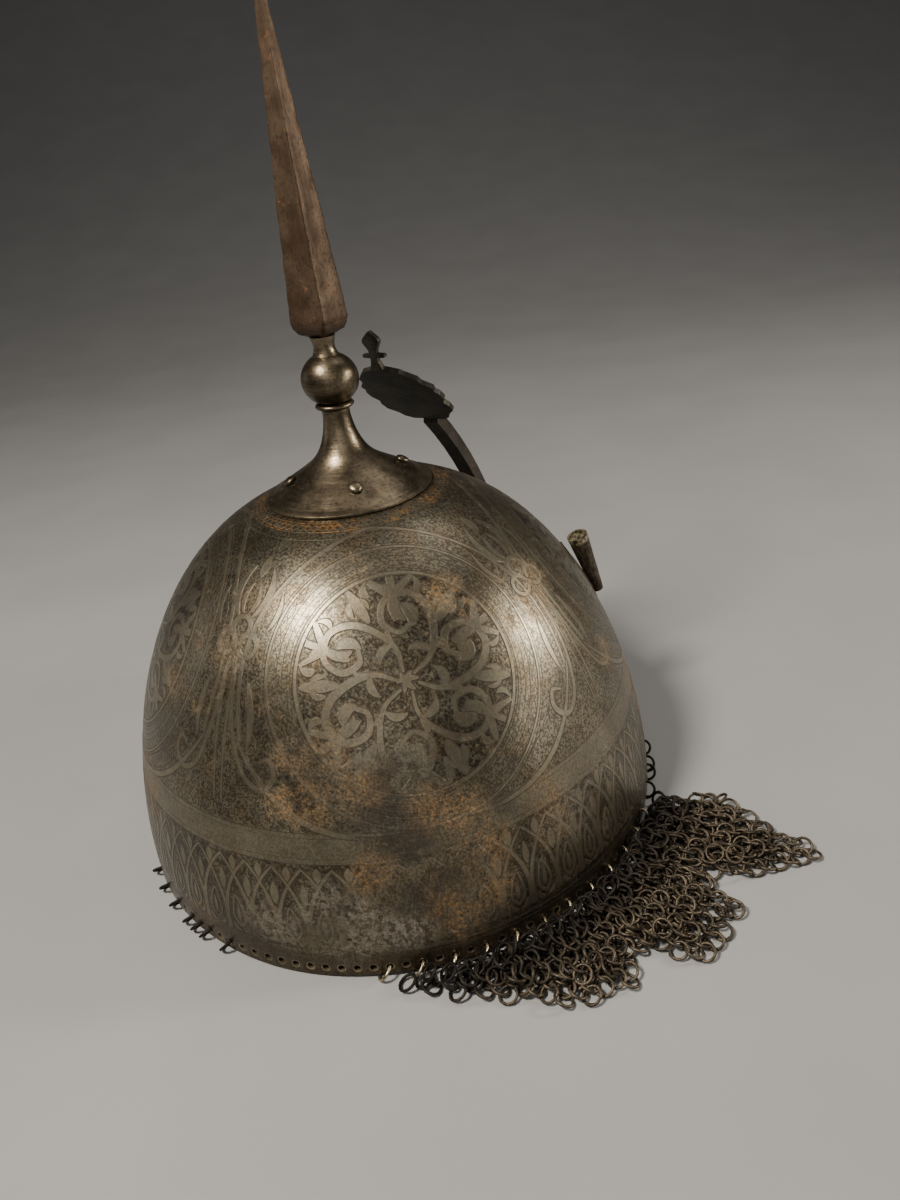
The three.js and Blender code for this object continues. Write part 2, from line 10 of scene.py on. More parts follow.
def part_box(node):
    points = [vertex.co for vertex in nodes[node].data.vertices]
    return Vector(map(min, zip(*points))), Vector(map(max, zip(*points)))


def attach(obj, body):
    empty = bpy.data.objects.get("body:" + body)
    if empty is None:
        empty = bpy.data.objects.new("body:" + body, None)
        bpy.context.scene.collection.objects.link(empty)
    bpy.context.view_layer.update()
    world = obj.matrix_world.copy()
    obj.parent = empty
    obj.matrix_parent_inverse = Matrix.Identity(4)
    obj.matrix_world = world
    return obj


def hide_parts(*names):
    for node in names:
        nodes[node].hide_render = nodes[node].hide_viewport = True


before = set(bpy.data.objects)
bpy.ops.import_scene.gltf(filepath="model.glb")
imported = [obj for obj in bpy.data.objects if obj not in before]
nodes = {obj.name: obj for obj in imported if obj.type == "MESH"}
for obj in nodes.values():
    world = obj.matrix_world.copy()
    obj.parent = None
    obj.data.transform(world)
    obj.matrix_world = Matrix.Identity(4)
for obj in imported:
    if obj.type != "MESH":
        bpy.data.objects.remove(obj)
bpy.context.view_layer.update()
MM = 0.001
rng = np.random.default_rng(1742)

# The skull's outline, as in the solid model, in millimetres
SKULL_R = 100.0
SKULL_H = 129.7
SKULL_WALL = 1.2
CROWN_POWER = 1.821
SIDE_POWER = 2.467
RIM_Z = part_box("skull_bowl")[0].z / MM
HOLE_COUNT = 120
HOLE_R = 1.2
HOLE_RISE = 3.0
HOLE_LIP_R = 1.5
HOLE_DIP = 0.12

# Height of the old dents along the rim
RIM_WAVE = 0.4

# Heights of the decoration above the rim
FRIEZE_LOW = 10.0
BORDER_LOW = 41.5
BORDER_HIGH = 51.5
FRIEZE_BAYS = 60
MEDALLION_RISE = 90.0
MEDALLION_TURNS = (-135.0, -45.0, 45.0, 135.0)
ROUNDEL_R = 35.2
MEDALLION_R = 45.0
PALMETTE_RISE = 100.0
PALMETTE_TURNS = (0.0, 90.0, 180.0, -90.0)

# Camera: the place and directions of the photograph's view
CAMERA_AT = Vector((-188.25, 224.33, 227.3 + RIM_Z)) * MM
CAMERA_RIGHT = Vector((-0.8541, -0.5061, -0.1201)).normalized()
CAMERA_AHEAD = Vector((0.5000, -0.7350, -0.4582)).normalized()
FOCAL_PX = 868.4
SENSOR_MM = 36.0
FRAME_HEIGHT_PX = 1200.0


def place_camera():
    lens = bpy.data.cameras.new("view")
    lens.sensor_width = SENSOR_MM
    lens.lens = FOCAL_PX * SENSOR_MM / FRAME_HEIGHT_PX
    lens.clip_start = 0.01
    holder = bpy.data.objects.new("view", lens)
    up = CAMERA_RIGHT.cross(CAMERA_AHEAD)
    right = CAMERA_AHEAD.cross(up).normalized()
    turn = Matrix((right, up.normalized(), -CAMERA_AHEAD)).transposed()
    holder.matrix_world = Matrix.Translation(CAMERA_AT) @ turn.to_4x4()
    bpy.context.scene.collection.objects.link(holder)
    bpy.context.scene.camera = holder


def soft_light(name, direction, distance, width, power, colour):
    """An area light that looks at the skull from a direction."""
    lamp = bpy.data.lights.new(name, "AREA")
    lamp.shape = "DISK"
    lamp.size = width
    lamp.energy = power
    lamp.color = colour
    holder = bpy.data.objects.new(name, lamp)
    target = Vector((0, 0, 0.09))
    away = Vector(direction).normalized()
    holder.location = target + away * distance
    holder.rotation_euler = away.to_track_quat("Z", "Y").to_euler()
    bpy.context.scene.collection.objects.link(holder)


# Shader expressions
class Field:
    """A value over a surface. Arithmetic on it adds Math nodes to its finish."""

    def __init__(self, finish, socket):
        self.finish = finish
        self.socket = socket

    def math(self, operation, *others):
        inputs = dict(enumerate((self, *others)))
        return self.finish.node("ShaderNodeMath", {"operation": operation}, inputs)

    def __add__(self, other):
        return self.math("ADD", other)

    __radd__ = __add__

    def __mul__(self, other):
        return self.math("MULTIPLY", other)

    __rmul__ = __mul__

    def __sub__(self, other):
        return self.math("SUBTRACT", other)

    def __rsub__(self, other):
        return self.finish.node("ShaderNodeMath", {"operation": "SUBTRACT"}, {0: other, 1: self})

    def least(self, other):
        return self.math("MINIMUM", other)

    def most(self, other):
        return self.math("MAXIMUM", other)

    def step(self, low, high):
        """0 below low, 1 above high and smooth between; low may be the higher one."""
        settings = {"interpolation_type": "SMOOTHSTEP", "clamp": True}
        inputs = {"Value": self, "From Min": low, "From Max": high, "To Min": 0.0, "To Max": 1.0}
        if low > high:
            inputs.update({"From Min": high, "From Max": low, "To Min": 1.0, "To Max": 0.0})
        return self.finish.node("ShaderNodeMapRange", settings, inputs)

    def band(self, middle, half, edge):
        """1 within half of a middle value, fading over edge."""
        return (self - middle).math("ABSOLUTE").step(half + edge, half)


def rgb(red, green, blue):
    """A colour given as 0 to 255 screen values."""
    def linear(value):
        share = value / 255
        return share / 12.92 if share <= 0.04045 else ((share + 0.055) / 1.055) ** 2.4
    return (linear(red), linear(green), linear(blue), 1.0)


class Finish:
    """One procedural material."""

    def __init__(self, name):
        self.material = bpy.data.materials.new(name)
        self.material.use_nodes = True
        self.tree = self.material.node_tree
        self.shader = self.tree.nodes["Principled BSDF"]
        coordinates = self.node("ShaderNodeTexCoord", {}, {}, "Object")
        self.place = self.vector("SCALE", coordinates, scale=1 / MM)

    def node(self, kind, settings, inputs, output=0):
        made = self.tree.nodes.new(kind)
        for key, value in settings.items():
            setattr(made, key, value)
        for key, value in inputs.items():
            self.feed(made.inputs[key], value)
        return Field(self, made.outputs[output])

    def feed(self, socket, value):
        if isinstance(value, Field):
            self.tree.links.new(value.socket, socket)
        else:
            socket.default_value = value

    def vector(self, operation, first, second=None, scale=None):
        inputs = {0: first}
        if second is not None:
            inputs[1] = second
        if scale is not None:
            inputs["Scale"] = scale
        output = "Value" if operation in ("DISTANCE", "LENGTH", "DOT_PRODUCT") else "Vector"
        return self.node("ShaderNodeVectorMath", {"operation": operation}, inputs, output)

    def axis(self, index):
        return self.node("ShaderNodeSeparateXYZ", {}, {0: self.place}, index)

    def axis_distance(self):
        return self.vector("LENGTH", self.vector("MULTIPLY", self.place, (1, 1, 0)))

    def noise(self, size, detail=3.0, roughness=0.55, stretch=None, shift=0.0, warp=0.0):
        """Noise whose features are about size millimetres across."""
        where = self.place
        if stretch:
            where = self.vector("MULTIPLY", where, stretch)
        if shift:
            where = self.vector("ADD", where, (shift, shift * 0.7, -shift))
        inputs = {
            "Vector": where,
            "Scale": 1 / size,
            "Detail": detail,
            "Roughness": roughness,
            "Distortion": warp,
        }
        return self.node("ShaderNodeTexNoise", {}, inputs, "Fac")

    def near(self, point, radius, edge):
        """1 within radius of a point, fading out over edge, in millimetres."""
        return self.vector("DISTANCE", self.place, tuple(point)).step(radius + edge, radius)

    def mix(self, share, first, second):
        """The first colour where share is 0 and the second where it is 1."""
        return self.node("ShaderNodeMix", {"data_type": "RGBA"}, {0: share, 6: first, 7: second}, 2)

    def layers(self, colour, *layers):
        """A colour with others over it, each given as its share and colour."""
        for share, layer in layers:
            colour = self.mix(share, colour, layer)
        return colour

    def bump(self, height, depth_mm, strength):
        inputs = {"Height": height, "Distance": depth_mm * MM, "Strength": strength}
        return self.node("ShaderNodeBump", {}, inputs, "Normal")

    def finish(self, **sockets):
        """Feeds the shader: names use _ for spaces, values are fields or constants."""
        for key, value in sockets.items():
            self.feed(self.shader.inputs[key.replace("_", " ")], value)
        return self.material


# The skull's surface
def on_skull(turn, rise, outset=0.0):
    """Points at a turn from the brow, in radians, and a rise above the rim."""
    turn, rise = np.broadcast_arrays(turn, rise)
    share = np.clip(1 - (np.clip(rise, 0, None) / SKULL_H) ** CROWN_POWER, 0, None)
    radius = (SKULL_R + outset) * share ** (1 / SIDE_POWER)
    lift = rise * (SKULL_H + outset) / SKULL_H
    return np.stack([radius * np.sin(turn), -radius * np.cos(turn), lift + RIM_Z], axis=-1)


def skull_level(points):
    """1 on the skull's surface, less inside it and more outside."""
    radius = np.hypot(points[:, 0], points[:, 1])
    rise = np.clip(points[:, 2] - RIM_Z, 0, None)
    return (radius / SKULL_R) ** SIDE_POWER + (rise / SKULL_H) ** CROWN_POWER


def crown_rise(radius):
    """The rise above the rim where the skull has a radius."""
    return SKULL_H * (1 - (radius / SKULL_R) ** SIDE_POWER) ** (1 / CROWN_POWER)


def skull_normal(points):
    radius = np.hypot(points[..., 0], points[..., 1])
    rise = np.clip(points[..., 2] - RIM_Z, 0, None)
    outward = SIDE_POWER * radius ** (SIDE_POWER - 2) / SKULL_R ** SIDE_POWER
    upward = CROWN_POWER * rise ** (CROWN_POWER - 1) / SKULL_H ** CROWN_POWER
    normal = np.stack([outward * points[..., 0], outward * points[..., 1], upward], axis=-1)
    return normal / np.linalg.norm(normal, axis=-1, keepdims=True)


def spot(turn_degrees, rise):
    """One point of the skull's surface, as three millimetre values."""
    return on_skull(np.radians(turn_degrees), np.array(float(rise)))


class Motif:
    """Draws on the skull round a centre: flat places, in millimetres, wrap onto the dome."""

    def __init__(self, builder, turn_degrees, rise):
        self.builder = builder
        self.middle = spot(turn_degrees, rise)
        self.normal = skull_normal(self.middle)
        turn = np.radians(turn_degrees)
        self.right = np.array([np.cos(turn), np.sin(turn), 0.0])
        self.up = np.cross(self.normal, self.right)
        self.reach = np.hypot(self.middle[0], self.middle[1]) / np.hypot(self.normal[0], self.normal[1])
        self.core = self.middle - self.normal * self.reach

    def strap(self, flat, width):
        raise_line(self.builder, self.wrap(flat), width)

    def cut(self, flat, width):
        cut_line(self.builder, self.wrap(flat), width)

    def wrap(self, flat):
        flat = np.asarray(flat, float)
        far = np.hypot(flat[:, 0], flat[:, 1])
        angle = far / self.reach
        side = flat / np.maximum(far, 1e-9)[:, None]
        away = (np.cos(angle)[:, None] * self.normal
                + np.sin(angle)[:, None] * (side[:, :1] * self.right + side[:, 1:] * self.up))
        low = np.full(len(flat), self.reach * 0.3)
        high = np.full(len(flat), self.reach * 2.2)
        for _ in range(34):
            middle = (low + high) / 2
            inside = skull_level(self.core + away * middle[:, None]) < 1
            low = np.where(inside, middle, low)
            high = np.where(inside, high, middle)
        return self.core + away * low[:, None]


def full_turn(count):
    return np.linspace(0, 2 * math.pi, count, endpoint=False)


def node_points(node):
    """The corners of a solid of the frame, in millimetres."""
    return np.array([vertex.co for vertex in nodes[node].data.vertices]) / MM


def lie_of(node):
    """Corners, centre and main directions of a flat round solid, the last one across it."""
    points = node_points(node)
    middle = points.mean(axis=0)
    return points, middle, np.linalg.svd(points - middle)[2]


def make_mesh(name, points_mm, faces, material):
    """A new smoothly shaded object from points in millimetres."""
    mesh = bpy.data.meshes.new(name)
    mesh.from_pydata((np.asarray(points_mm) * MM).tolist(), [], faces)
    mesh.polygons.foreach_set("use_smooth", [True] * len(mesh.polygons))
    mesh.materials.append(material)
    piece = bpy.data.objects.new(name, mesh)
    bpy.context.scene.collection.objects.link(piece)
    return piece


def sharpen(piece, degrees):
    """Keeps edges steeper than an angle crisp under smooth shading."""
    piece.data.polygons.foreach_set("use_smooth", [True] * len(piece.data.polygons))
    piece.data.set_sharp_from_angle(angle=math.radians(degrees))


def grid_faces(rows, columns, closed=False, flip=False):
    """Quads of a grid of points stored row by row."""
    faces = []
    for row in range(rows - 1):
        for column in range(columns if closed else columns - 1):
            beside = (column + 1) % columns
            low = row * columns
            high = low + columns
            face = (low + column, low + beside, high + beside, high + column)
            faces.append(face[::-1] if flip else face)
    return faces


class Builder:
    """Gathers points and faces of many small shapes into one mesh."""

    def __init__(self):
        self.points = []
        self.faces = []
        self.kinds = []
        self.count = 0

    def add(self, points, faces, kinds=()):
        self.points.append(np.asarray(points, float))
        self.faces.extend(tuple(corner + self.count for corner in face) for face in faces)
        self.kinds.extend(kinds)
        self.count += len(points)

    def piece(self, name, *materials):
        made = make_mesh(name, np.concatenate(self.points), self.faces, materials[0])
        for material in materials[1:]:
            made.data.materials.append(material)
        if self.kinds:
            made.data.polygons.foreach_set("material_index", self.kinds)
        return made


# Raised straps and cut lines on the skull
LINE_HEIGHT = 0.06
LINE_SINK = 0.03
LINE_SLOPE = 0.55
CUT_LIFT = 0.025
CUT_SINK = 0.02
STRAP, CUT = 0, 1


def edge_frame(points):
    """Normals and sideways directions along a row of surface points."""
    points = np.asarray(points)
    normal = skull_normal(points)
    along = np.gradient(points, axis=0)
    across = np.cross(normal, along)
    across /= np.maximum(np.linalg.norm(across, axis=1, keepdims=True), 1e-9)
    return points, normal, across


def raise_line(builder, points, width):
    """A flat strap with dark sloping sides; its width may vary along it."""
    points, normal, across = edge_frame(points)
    half = np.broadcast_to(np.asarray(width, float) / 2, len(points))[:, None]
    crest = np.maximum(half - LINE_SLOPE / 2, half * 0.5)
    foot = half + LINE_SLOPE / 2
    lift = normal * LINE_HEIGHT * np.minimum(1, half / 0.4)
    sunk = normal * -LINE_SINK
    section = [points - across * foot + sunk, points - across * crest + lift,
               points + across * crest + lift, points + across * foot + sunk]
    rows = np.stack(section, axis=1).reshape(-1, 3)
    kinds = [CUT, STRAP, CUT] * (len(points) - 1)
    builder.add(rows, grid_faces(len(points), 4, flip=True), kinds)


def cut_line(builder, points, width):
    """A fine dark engraved line."""
    points, normal, across = edge_frame(points)
    half = np.broadcast_to(np.asarray(width, float) / 2, len(points))[:, None]
    lift = normal * CUT_LIFT
    sunk = normal * -CUT_SINK
    section = [points - across * half + sunk, points + lift, points + across * half + sunk]
    rows = np.stack(section, axis=1).reshape(-1, 3)
    kinds = [CUT] * (2 * (len(points) - 1))
    builder.add(rows, grid_faces(len(points), 3, flip=True), kinds)


def swell(count, thick, thin=0.3, peak=0.5):
    """Widths of a leaf stroke: thin at both ends and thick at its peak."""
    share = np.linspace(0, 1, count)
    warped = np.where(share < peak, share / peak * 0.5, 0.5 + (share - peak) / (1 - peak) * 0.5)
    return thin + (thick - thin) * np.sin(warped * np.pi) ** 0.8


def bend(start, control, end, count):
    """A quadratic curve through flat places."""
    share = np.linspace(0, 1, count)[:, None]
    start, control, end = (np.asarray(point, float) for point in (start, control, end))
    return (1 - share) ** 2 * start + 2 * share * (1 - share) * control + share ** 2 * end


def arc(centre, radius, start, end, count):
    angle = np.radians(np.linspace(start, end, count))
    return np.stack([centre[0] + radius * np.cos(angle), centre[1] + radius * np.sin(angle)], axis=1)


def mirrored(flat):
    return np.asarray(flat) * np.array([-1.0, 1.0])


def turned_flat(flat, degrees):
    angle = math.radians(degrees)
    turn = np.array([[math.cos(angle), math.sin(angle)], [-math.sin(angle), math.cos(angle)]])
    return np.asarray(flat) @ turn


def hand_cut(width):
    """A stroke width with the small unevenness of hand work."""
    return np.asarray(width) * rng.uniform(0.9, 1.1)


def draw_roundel(motif):
    """The medallion: plain rings with fine cut circles round a field of linked straps."""
    def strap(flat, width):
        wander = rng.normal(0, 0.12, 2)
        motif.strap(np.asarray(flat) + wander, hand_cut(width))

    def leaf(degrees, start, control, end, count, *widths):
        strap(turned_flat(bend(start, control, end, count), degrees), swell(count, *widths))

    motif.strap(arc((0, 0), ROUNDEL_R - 1.1, 0, 360, 180), 1.5)
    motif.strap(arc((0, 0), MEDALLION_R - 1.2, 0, 360, 180), 1.2)
    for radius, width in ((ROUNDEL_R + 0.5, 0.6), (36.7, 0.3), (38.4, 0.35), (40.3, 0.5),
                          (MEDALLION_R + 0.3, 0.5)):
        motif.cut(arc((0, 0), radius, 0, 360, 180), width)
    round_it = np.linspace(0, 2 * math.pi, 300)
    for phase in (0, math.pi):
        radius = 41.9 + 0.9 * np.sin(round_it * 26 + phase)
        rope = np.stack([radius * np.cos(round_it), radius * np.sin(round_it)], axis=1)
        motif.cut(rope, 0.35)
    scroll = smooth_curve([(2.6, -1.4), (8.4, -5.4), (16.2, -5.6), (23.8, -2.6), (27.2, 3.8), (23.4, 10.4),
                           (16.6, 10.2), (14.2, 4.8), (17.4, 1.6)], 64)
    scroll_width = np.interp(np.arange(64), (0, 20, 50, 63), (1.4, 2.7, 2.3, 1.6))
    for node in range(6):
        axis = node * 60 + 8
        strap(turned_flat(scroll, axis), scroll_width)
        leaf(axis, (16.6, 1.4), (21.5, 0.4), (22.4, 5.4), 14, 4.4, 1.4, 0.55)
        leaf(axis, (18.6, 3.4), (19.2, 6.6), (22.0, 6.8), 10, 2.6, 1.0, 0.7)
        leaf(axis, (14.6, 7.6), (11.6, 9.0), (10.4, 5.2), 12, 2.8, 0.7, 0.55)
        leaf(axis, (9.6, -5.8), (12.6, -1.6), (9.2, 1.4), 12, 2.9, 0.7, 0.5)
        leaf(axis, (24.6, 8.6), (28.0, 9.6), (27.0, 13.6), 12, 3.0, 0.8, 0.6)
        blossom = axis + 18
        leaf(blossom, (18.4, 0.2), (22.5, 0.6), (26.4, 0), 10, 3.6, 1.6, 0.6)
        strap(turned_flat(bend((25.6, 0), (29.5, 0), (33.0, 0), 8), blossom), 2.6)
        for side in (1, -1):
            leaf(blossom, (26.0, 0), (28.4, side * 1.8), (32.4, side * 6.8), 12, 2.6, 1.7, 0.4)
            leaf(blossom, (31.9, side * 7.4), (28.6, side * 9.6), (27.2, side * 6.6), 12, 2.5, 0.8, 0.6)
        bud = axis - 17.6
        leaf(bud, (33.0, 0), (27.5, 0), (20.6, 0), 12, 3.8, 1.2, 0.55)
        for side in (1, -1):
            leaf(bud, (29.6, side * 0.4), (28.4, side * 3.6), (24.6, side * 2.9), 10, 2.2, 0.7, 0.6)
    for petal in range(3):
        leaf(petal * 60, (-3.4, 0), (0, 1.2), (3.4, 0), 12, 2.4, 0.9)


def draw_ogee(motif):
    """The pointed frame over a medallion and the pair of long leaves under it."""
    vein = bend((17, -42.2), (42, -39), (52.5, -12), 101)
    for side in (1, -1):
        flip = np.array([[side, 1.0]])
        for inset, width in ((0.0, 1.5), (3.0, 0.0)):
            top = bend((0, 53 - inset), (23 - inset, 48 - inset), (41 - inset, 31), 40)
            low = bend((41 - inset, 31), (53.5 - inset, 17), (56 - inset, -6), 30)
            frame_line = np.concatenate([top, low[1:]]) * flip
            if width:
                motif.strap(frame_line, width)
            else:
                motif.cut(frame_line, 0.35)
        outer = bend((9.5, -43.2), (47, -44.5), (57, -6), 60) * flip
        motif.strap(outer, swell(60, 2.3, 1.0))
        inner = bend((12, -43.4), (35, -35), (47, -14), 50) * flip
        motif.cut(inner, 0.5)
        middle = bend((17, -42.2), (42, -39), (52.5, -12), 50) * flip
        motif.cut(middle, 0.35)
        for step in range(7):
            at = vein[14 + 11 * step]
            vane = bend(at, at + (1.8, 2.8), at + (-0.8, 5.2), 8) * flip
            motif.cut(vane, 0.35)


def draw_palmette(motif):
    """The stem between two medallions: a trefoil, tall blades over it and hooks under it."""
    def both(flat, width):
        motif.strap(flat, hand_cut(width))
        motif.strap(mirrored(flat), hand_cut(width))

    both(bend((1.5, -47), (1.9, -24), (1.4, -3), 32), 1.1)
    both(arc((4.3, 0.6), 3.4, -150, 175, 28), 1.9)
    motif.strap(arc((0, 6.2), 3.4, -70, 250, 28), 1.9)
    both(bend((2.4, 9.4), (9.5, 17), (3.6, 27), 28), swell(28, 3.0, 0.8, 0.45))
    both(bend((1.0, 10.6), (4.4, 15), (1.2, 21), 20), swell(20, 1.9, 0.7))
    motif.strap(bend((0, 23), (0, 27), (0, 31), 12), swell(12, 3.4, 0.5, 0.4))
    hook = smooth_curve([(1.8, -5), (3.8, -23), (9.4, -37), (16.4, -41.2), (20.8, -36.6),
                         (18.8, -31.6), (15.2, -33.2)], 60)
    both(hook, swell(60, 2.1, 1.0, 0.6))
    both(bend((7.6, -10), (12.0, -20), (10.6, -30), 20), swell(20, 2.5, 0.7))
    both(bend((9.6, 6), (13.5, 12), (11.0, 19), 20), swell(20, 2.0, 0.6))


def draw_frieze(builder):
    """The band above the rim: interlaced pointed arches with drops and buds in their bays."""
    pitch = 2 * math.pi / FRIEZE_BAYS
    middle_r = SKULL_R * 0.985
    bay_width = pitch * middle_r
    foot = FRIEZE_LOW + 1.2
    crown = BORDER_LOW - 1.8

    def line(bay, flat, width):
        flat = np.asarray(flat)
        turn = bay * pitch + flat[:, 0] / middle_r
        raise_line(builder, on_skull(turn, flat[:, 1]), hand_cut(width))

    for bay in range(FRIEZE_BAYS):
        rise = bend((-bay_width, foot), (-bay_width * 1.1, foot + 18), (0, crown), 22)
        arch = np.concatenate([rise, mirrored(rise)[::-1][1:]])
        line(bay, arch, np.interp(arch[:, 1], (foot, foot + 12, crown), (2.4, 1.9, 1.3)))
        lean = 1.0 if bay % 2 else -1.0
        drop = smooth_curve([(0, foot + 2), (2.3, foot + 5.2), (2.1, foot + 9.5), (0.6, foot + 14.4),
                             (-1.9, foot + 9.2), (-2.1, foot + 5), (0, foot + 2)], 30) * [lean, 1.0]
        middle = np.array([[bay_width / 2, 0.0]])
        line(bay, drop + middle, 1.15)
        seed = bend((0, foot + 4.4), (0.3, foot + 7.6), (-0.2, foot + 11), 9) * [lean, 1.0]
        line(bay, seed + middle, swell(9, 2.0, 0.6, 0.4))
        for side in (1, -1):
            sepal = bend((side * 0.4, foot + 0.4), (side * 2.8, foot), (side * 3.3, foot + 3.4), 9)
            line(bay, sepal + middle, swell(9, 1.7, 0.6, 0.6))
        bud = bend((0, crown + 0.6), (0, crown - 2), (0, crown - 4.6), 8)
        line(bay, bud + middle, swell(8, 3.2, 0.6, 0.4))
        line(bay, bend((0, foot + 15.5), (0, foot + 19), (0, foot + 23.5), 9), swell(9, 3.2, 0.6))


def draw_bands(builder):
    """Plain rings round the skull: the border over the frieze and the crown's gold band."""
    turn = np.linspace(0, 2 * math.pi, 481)
    for rise, width in ((FRIEZE_LOW - 1.2, 0.6), (FRIEZE_LOW - 3.0, 0.3), (BORDER_LOW, 0.6),
                        (BORDER_LOW + 1.8, 0.3), (BORDER_HIGH - 1.6, 0.3), (BORDER_HIGH, 0.6)):
        cut_line(builder, on_skull(turn, rise), width)
    for radius in (30.4, 34.4, 37.5):
        cut_line(builder, on_skull(turn, crown_rise(radius)), 0.4)
    loops = np.linspace(0, 2 * math.pi, 1201)
    for phase in (0, math.pi):
        radius = 32.4 + 1.2 * np.sin(loops * 40 + phase)
        raise_line(builder, on_skull(loops, crown_rise(radius)), 0.55)


def skull_shell(material, lip_material):
    """The bowl: a fine outer and inner skin, a rim edge and a strip with open holes."""
    builder = Builder()
    cells = HOLE_COUNT * 4
    strip = HOLE_RISE * 2
    turn = full_turn(cells)
    low = math.asin((strip / SKULL_H) ** (CROWN_POWER / 2))
    for outset, rows in ((0.0, 120), (-SKULL_WALL, 50)):
        angle = low + np.linspace(0, 1, rows) * (math.pi / 2 - low)
        rise = SKULL_H * np.sin(angle) ** (2 / CROWN_POWER)
        rise[-1] = SKULL_H * 0.99999
        grid = on_skull(turn[None, :], rise[:, None], outset)
        faces = grid_faces(rows, cells, closed=True, flip=outset < 0)
        builder.add(grid.reshape(-1, 3), faces, [0] * len(faces))
    # The strip: each cell has a round hole, its border shared with the next cell
    around = 16
    spokes = full_turn(around) + math.pi / 4
    corner = np.stack([np.cos(spokes), np.sin(spokes)], axis=1)
    square = corner / np.abs(corner).max(axis=1, keepdims=True)
    half_cell = math.pi / HOLE_COUNT
    for hole in range(HOLE_COUNT):
        middle = (hole + 0.5) * 2 * half_cell
        sides = []
        for outset in (0.0, -SKULL_WALL):
            dip = HOLE_DIP if outset == 0 else -HOLE_DIP
            rows = [on_skull(middle + square[:, 0] * half_cell, HOLE_RISE + square[:, 1] * HOLE_RISE, outset)]
            for radius, sunk in ((HOLE_LIP_R, 0.0), (HOLE_R, dip)):
                rows.append(on_skull(middle + corner[:, 0] * radius / SKULL_R,
                                     HOLE_RISE + corner[:, 1] * radius, outset - sunk))
            sides.append(np.concatenate(rows))
        faces = []
        kinds = []
        for k in range(around):
            n = (k + 1) % around
            for ring in range(2):
                low, high = ring * around, (ring + 1) * around
                faces.append((low + k, low + n, high + n, high + k))
                back = 3 * around
                faces.append((back + high + k, back + high + n, back + low + n, back + low + k))
                kinds += [ring, ring]
            tunnel = 2 * around
            faces.append((tunnel + k, tunnel + n, 5 * around + n, 5 * around + k))
            kinds.append(1)
            if square[k, 1] < -0.99 and square[n, 1] < -0.99:
                faces.append((n, k, 3 * around + k, 3 * around + n))
                kinds.append(0)
        builder.add(np.concatenate(sides), faces, kinds)
    for points in builder.points:
        rise = points[:, 2] - RIM_Z
        turn = np.arctan2(points[:, 0], -points[:, 1])
        wave = (np.sin(turn * 3 + 0.6) * np.cos(turn * 2) + 0.7 * np.sin(turn * 7)) * RIM_WAVE
        points[:, 2] += wave * np.clip(1 - rise / FRIEZE_LOW, 0, 1) ** 2
    piece = builder.piece("skull_shell", material, lip_material)
    weld(piece, 0.02)
    return piece


def weld(piece, distance_mm):
    """Joins points that coincide, so that neighbouring parts shade as one surface."""
    work = bmesh.new()
    work.from_mesh(piece.data)
    bmesh.ops.remove_doubles(work, verts=work.verts, dist=distance_mm * MM)
    bmesh.ops.recalc_face_normals(work, faces=work.faces)
    work.to_mesh(piece.data)
    work.free()
    sharpen(piece, 40)


# Turned and forged pieces
def closed_body(name, rings, bottom, top, material, sharp=40):
    """A body from rows of points round an axis, with a fan of faces at each end."""
    rows, sides = rings.shape[:2]
    builder = Builder()
    builder.add(rings.reshape(-1, 3), grid_faces(rows, sides, True))
    builder.add([bottom, top], [])
    low = rows * sides
    last = low - sides
    for k in range(sides):
        n = (k + 1) % sides
        builder.faces.append((low, n, k))
        builder.faces.append((low + 1, last + k, last + n))
    piece = builder.piece(name, material)
    weld(piece, 0.001)
    sharpen(piece, sharp)
    return piece


def turned_piece(name, profile, sides, material):
    """A body turned about Z from radius and height pairs that start and end on the axis."""
    profile = np.asarray(profile, float)
    turn = full_turn(sides)
    rings = profile[1:-1]
    grid = np.stack([rings[:, :1] * np.cos(turn), rings[:, :1] * np.sin(turn),
                     np.repeat(rings[:, 1:], sides, axis=1)], axis=-1)
    return closed_body(name, grid, (0, 0, profile[0, 1]), (0, 0, profile[-1, 1]), material, 35)


def smooth_curve(points, count):
    """Points along a smooth curve through the given ones."""
    points = np.asarray(points, float)
    padded = np.concatenate([[2 * points[0] - points[1]], points, [2 * points[-1] - points[-2]]])
    out = []
    spans = len(points) - 1
    for step in range(count):
        place = step / (count - 1) * spans
        span = min(int(place), spans - 1)
        t = place - span
        a, b, c, d = padded[span:span + 4]
        out.append(0.5 * (2 * b + (c - a) * t + (2 * a - 5 * b + 4 * c - d) * t ** 2
                          + (3 * b - a - 3 * c + d) * t ** 3))
    return np.array(out)


# The trumpet's outline above its flange, as shares of the foot's radius and height
TRUMPET = ((0.93, 0), (0.76, 0.105), (0.585, 0.215), (0.42, 0.33), (0.315, 0.44),
           (0.24, 0.58), (0.19, 0.74), (0.164, 0.9), (0.164, 1))
RIVET_HEAD_R = 2.352


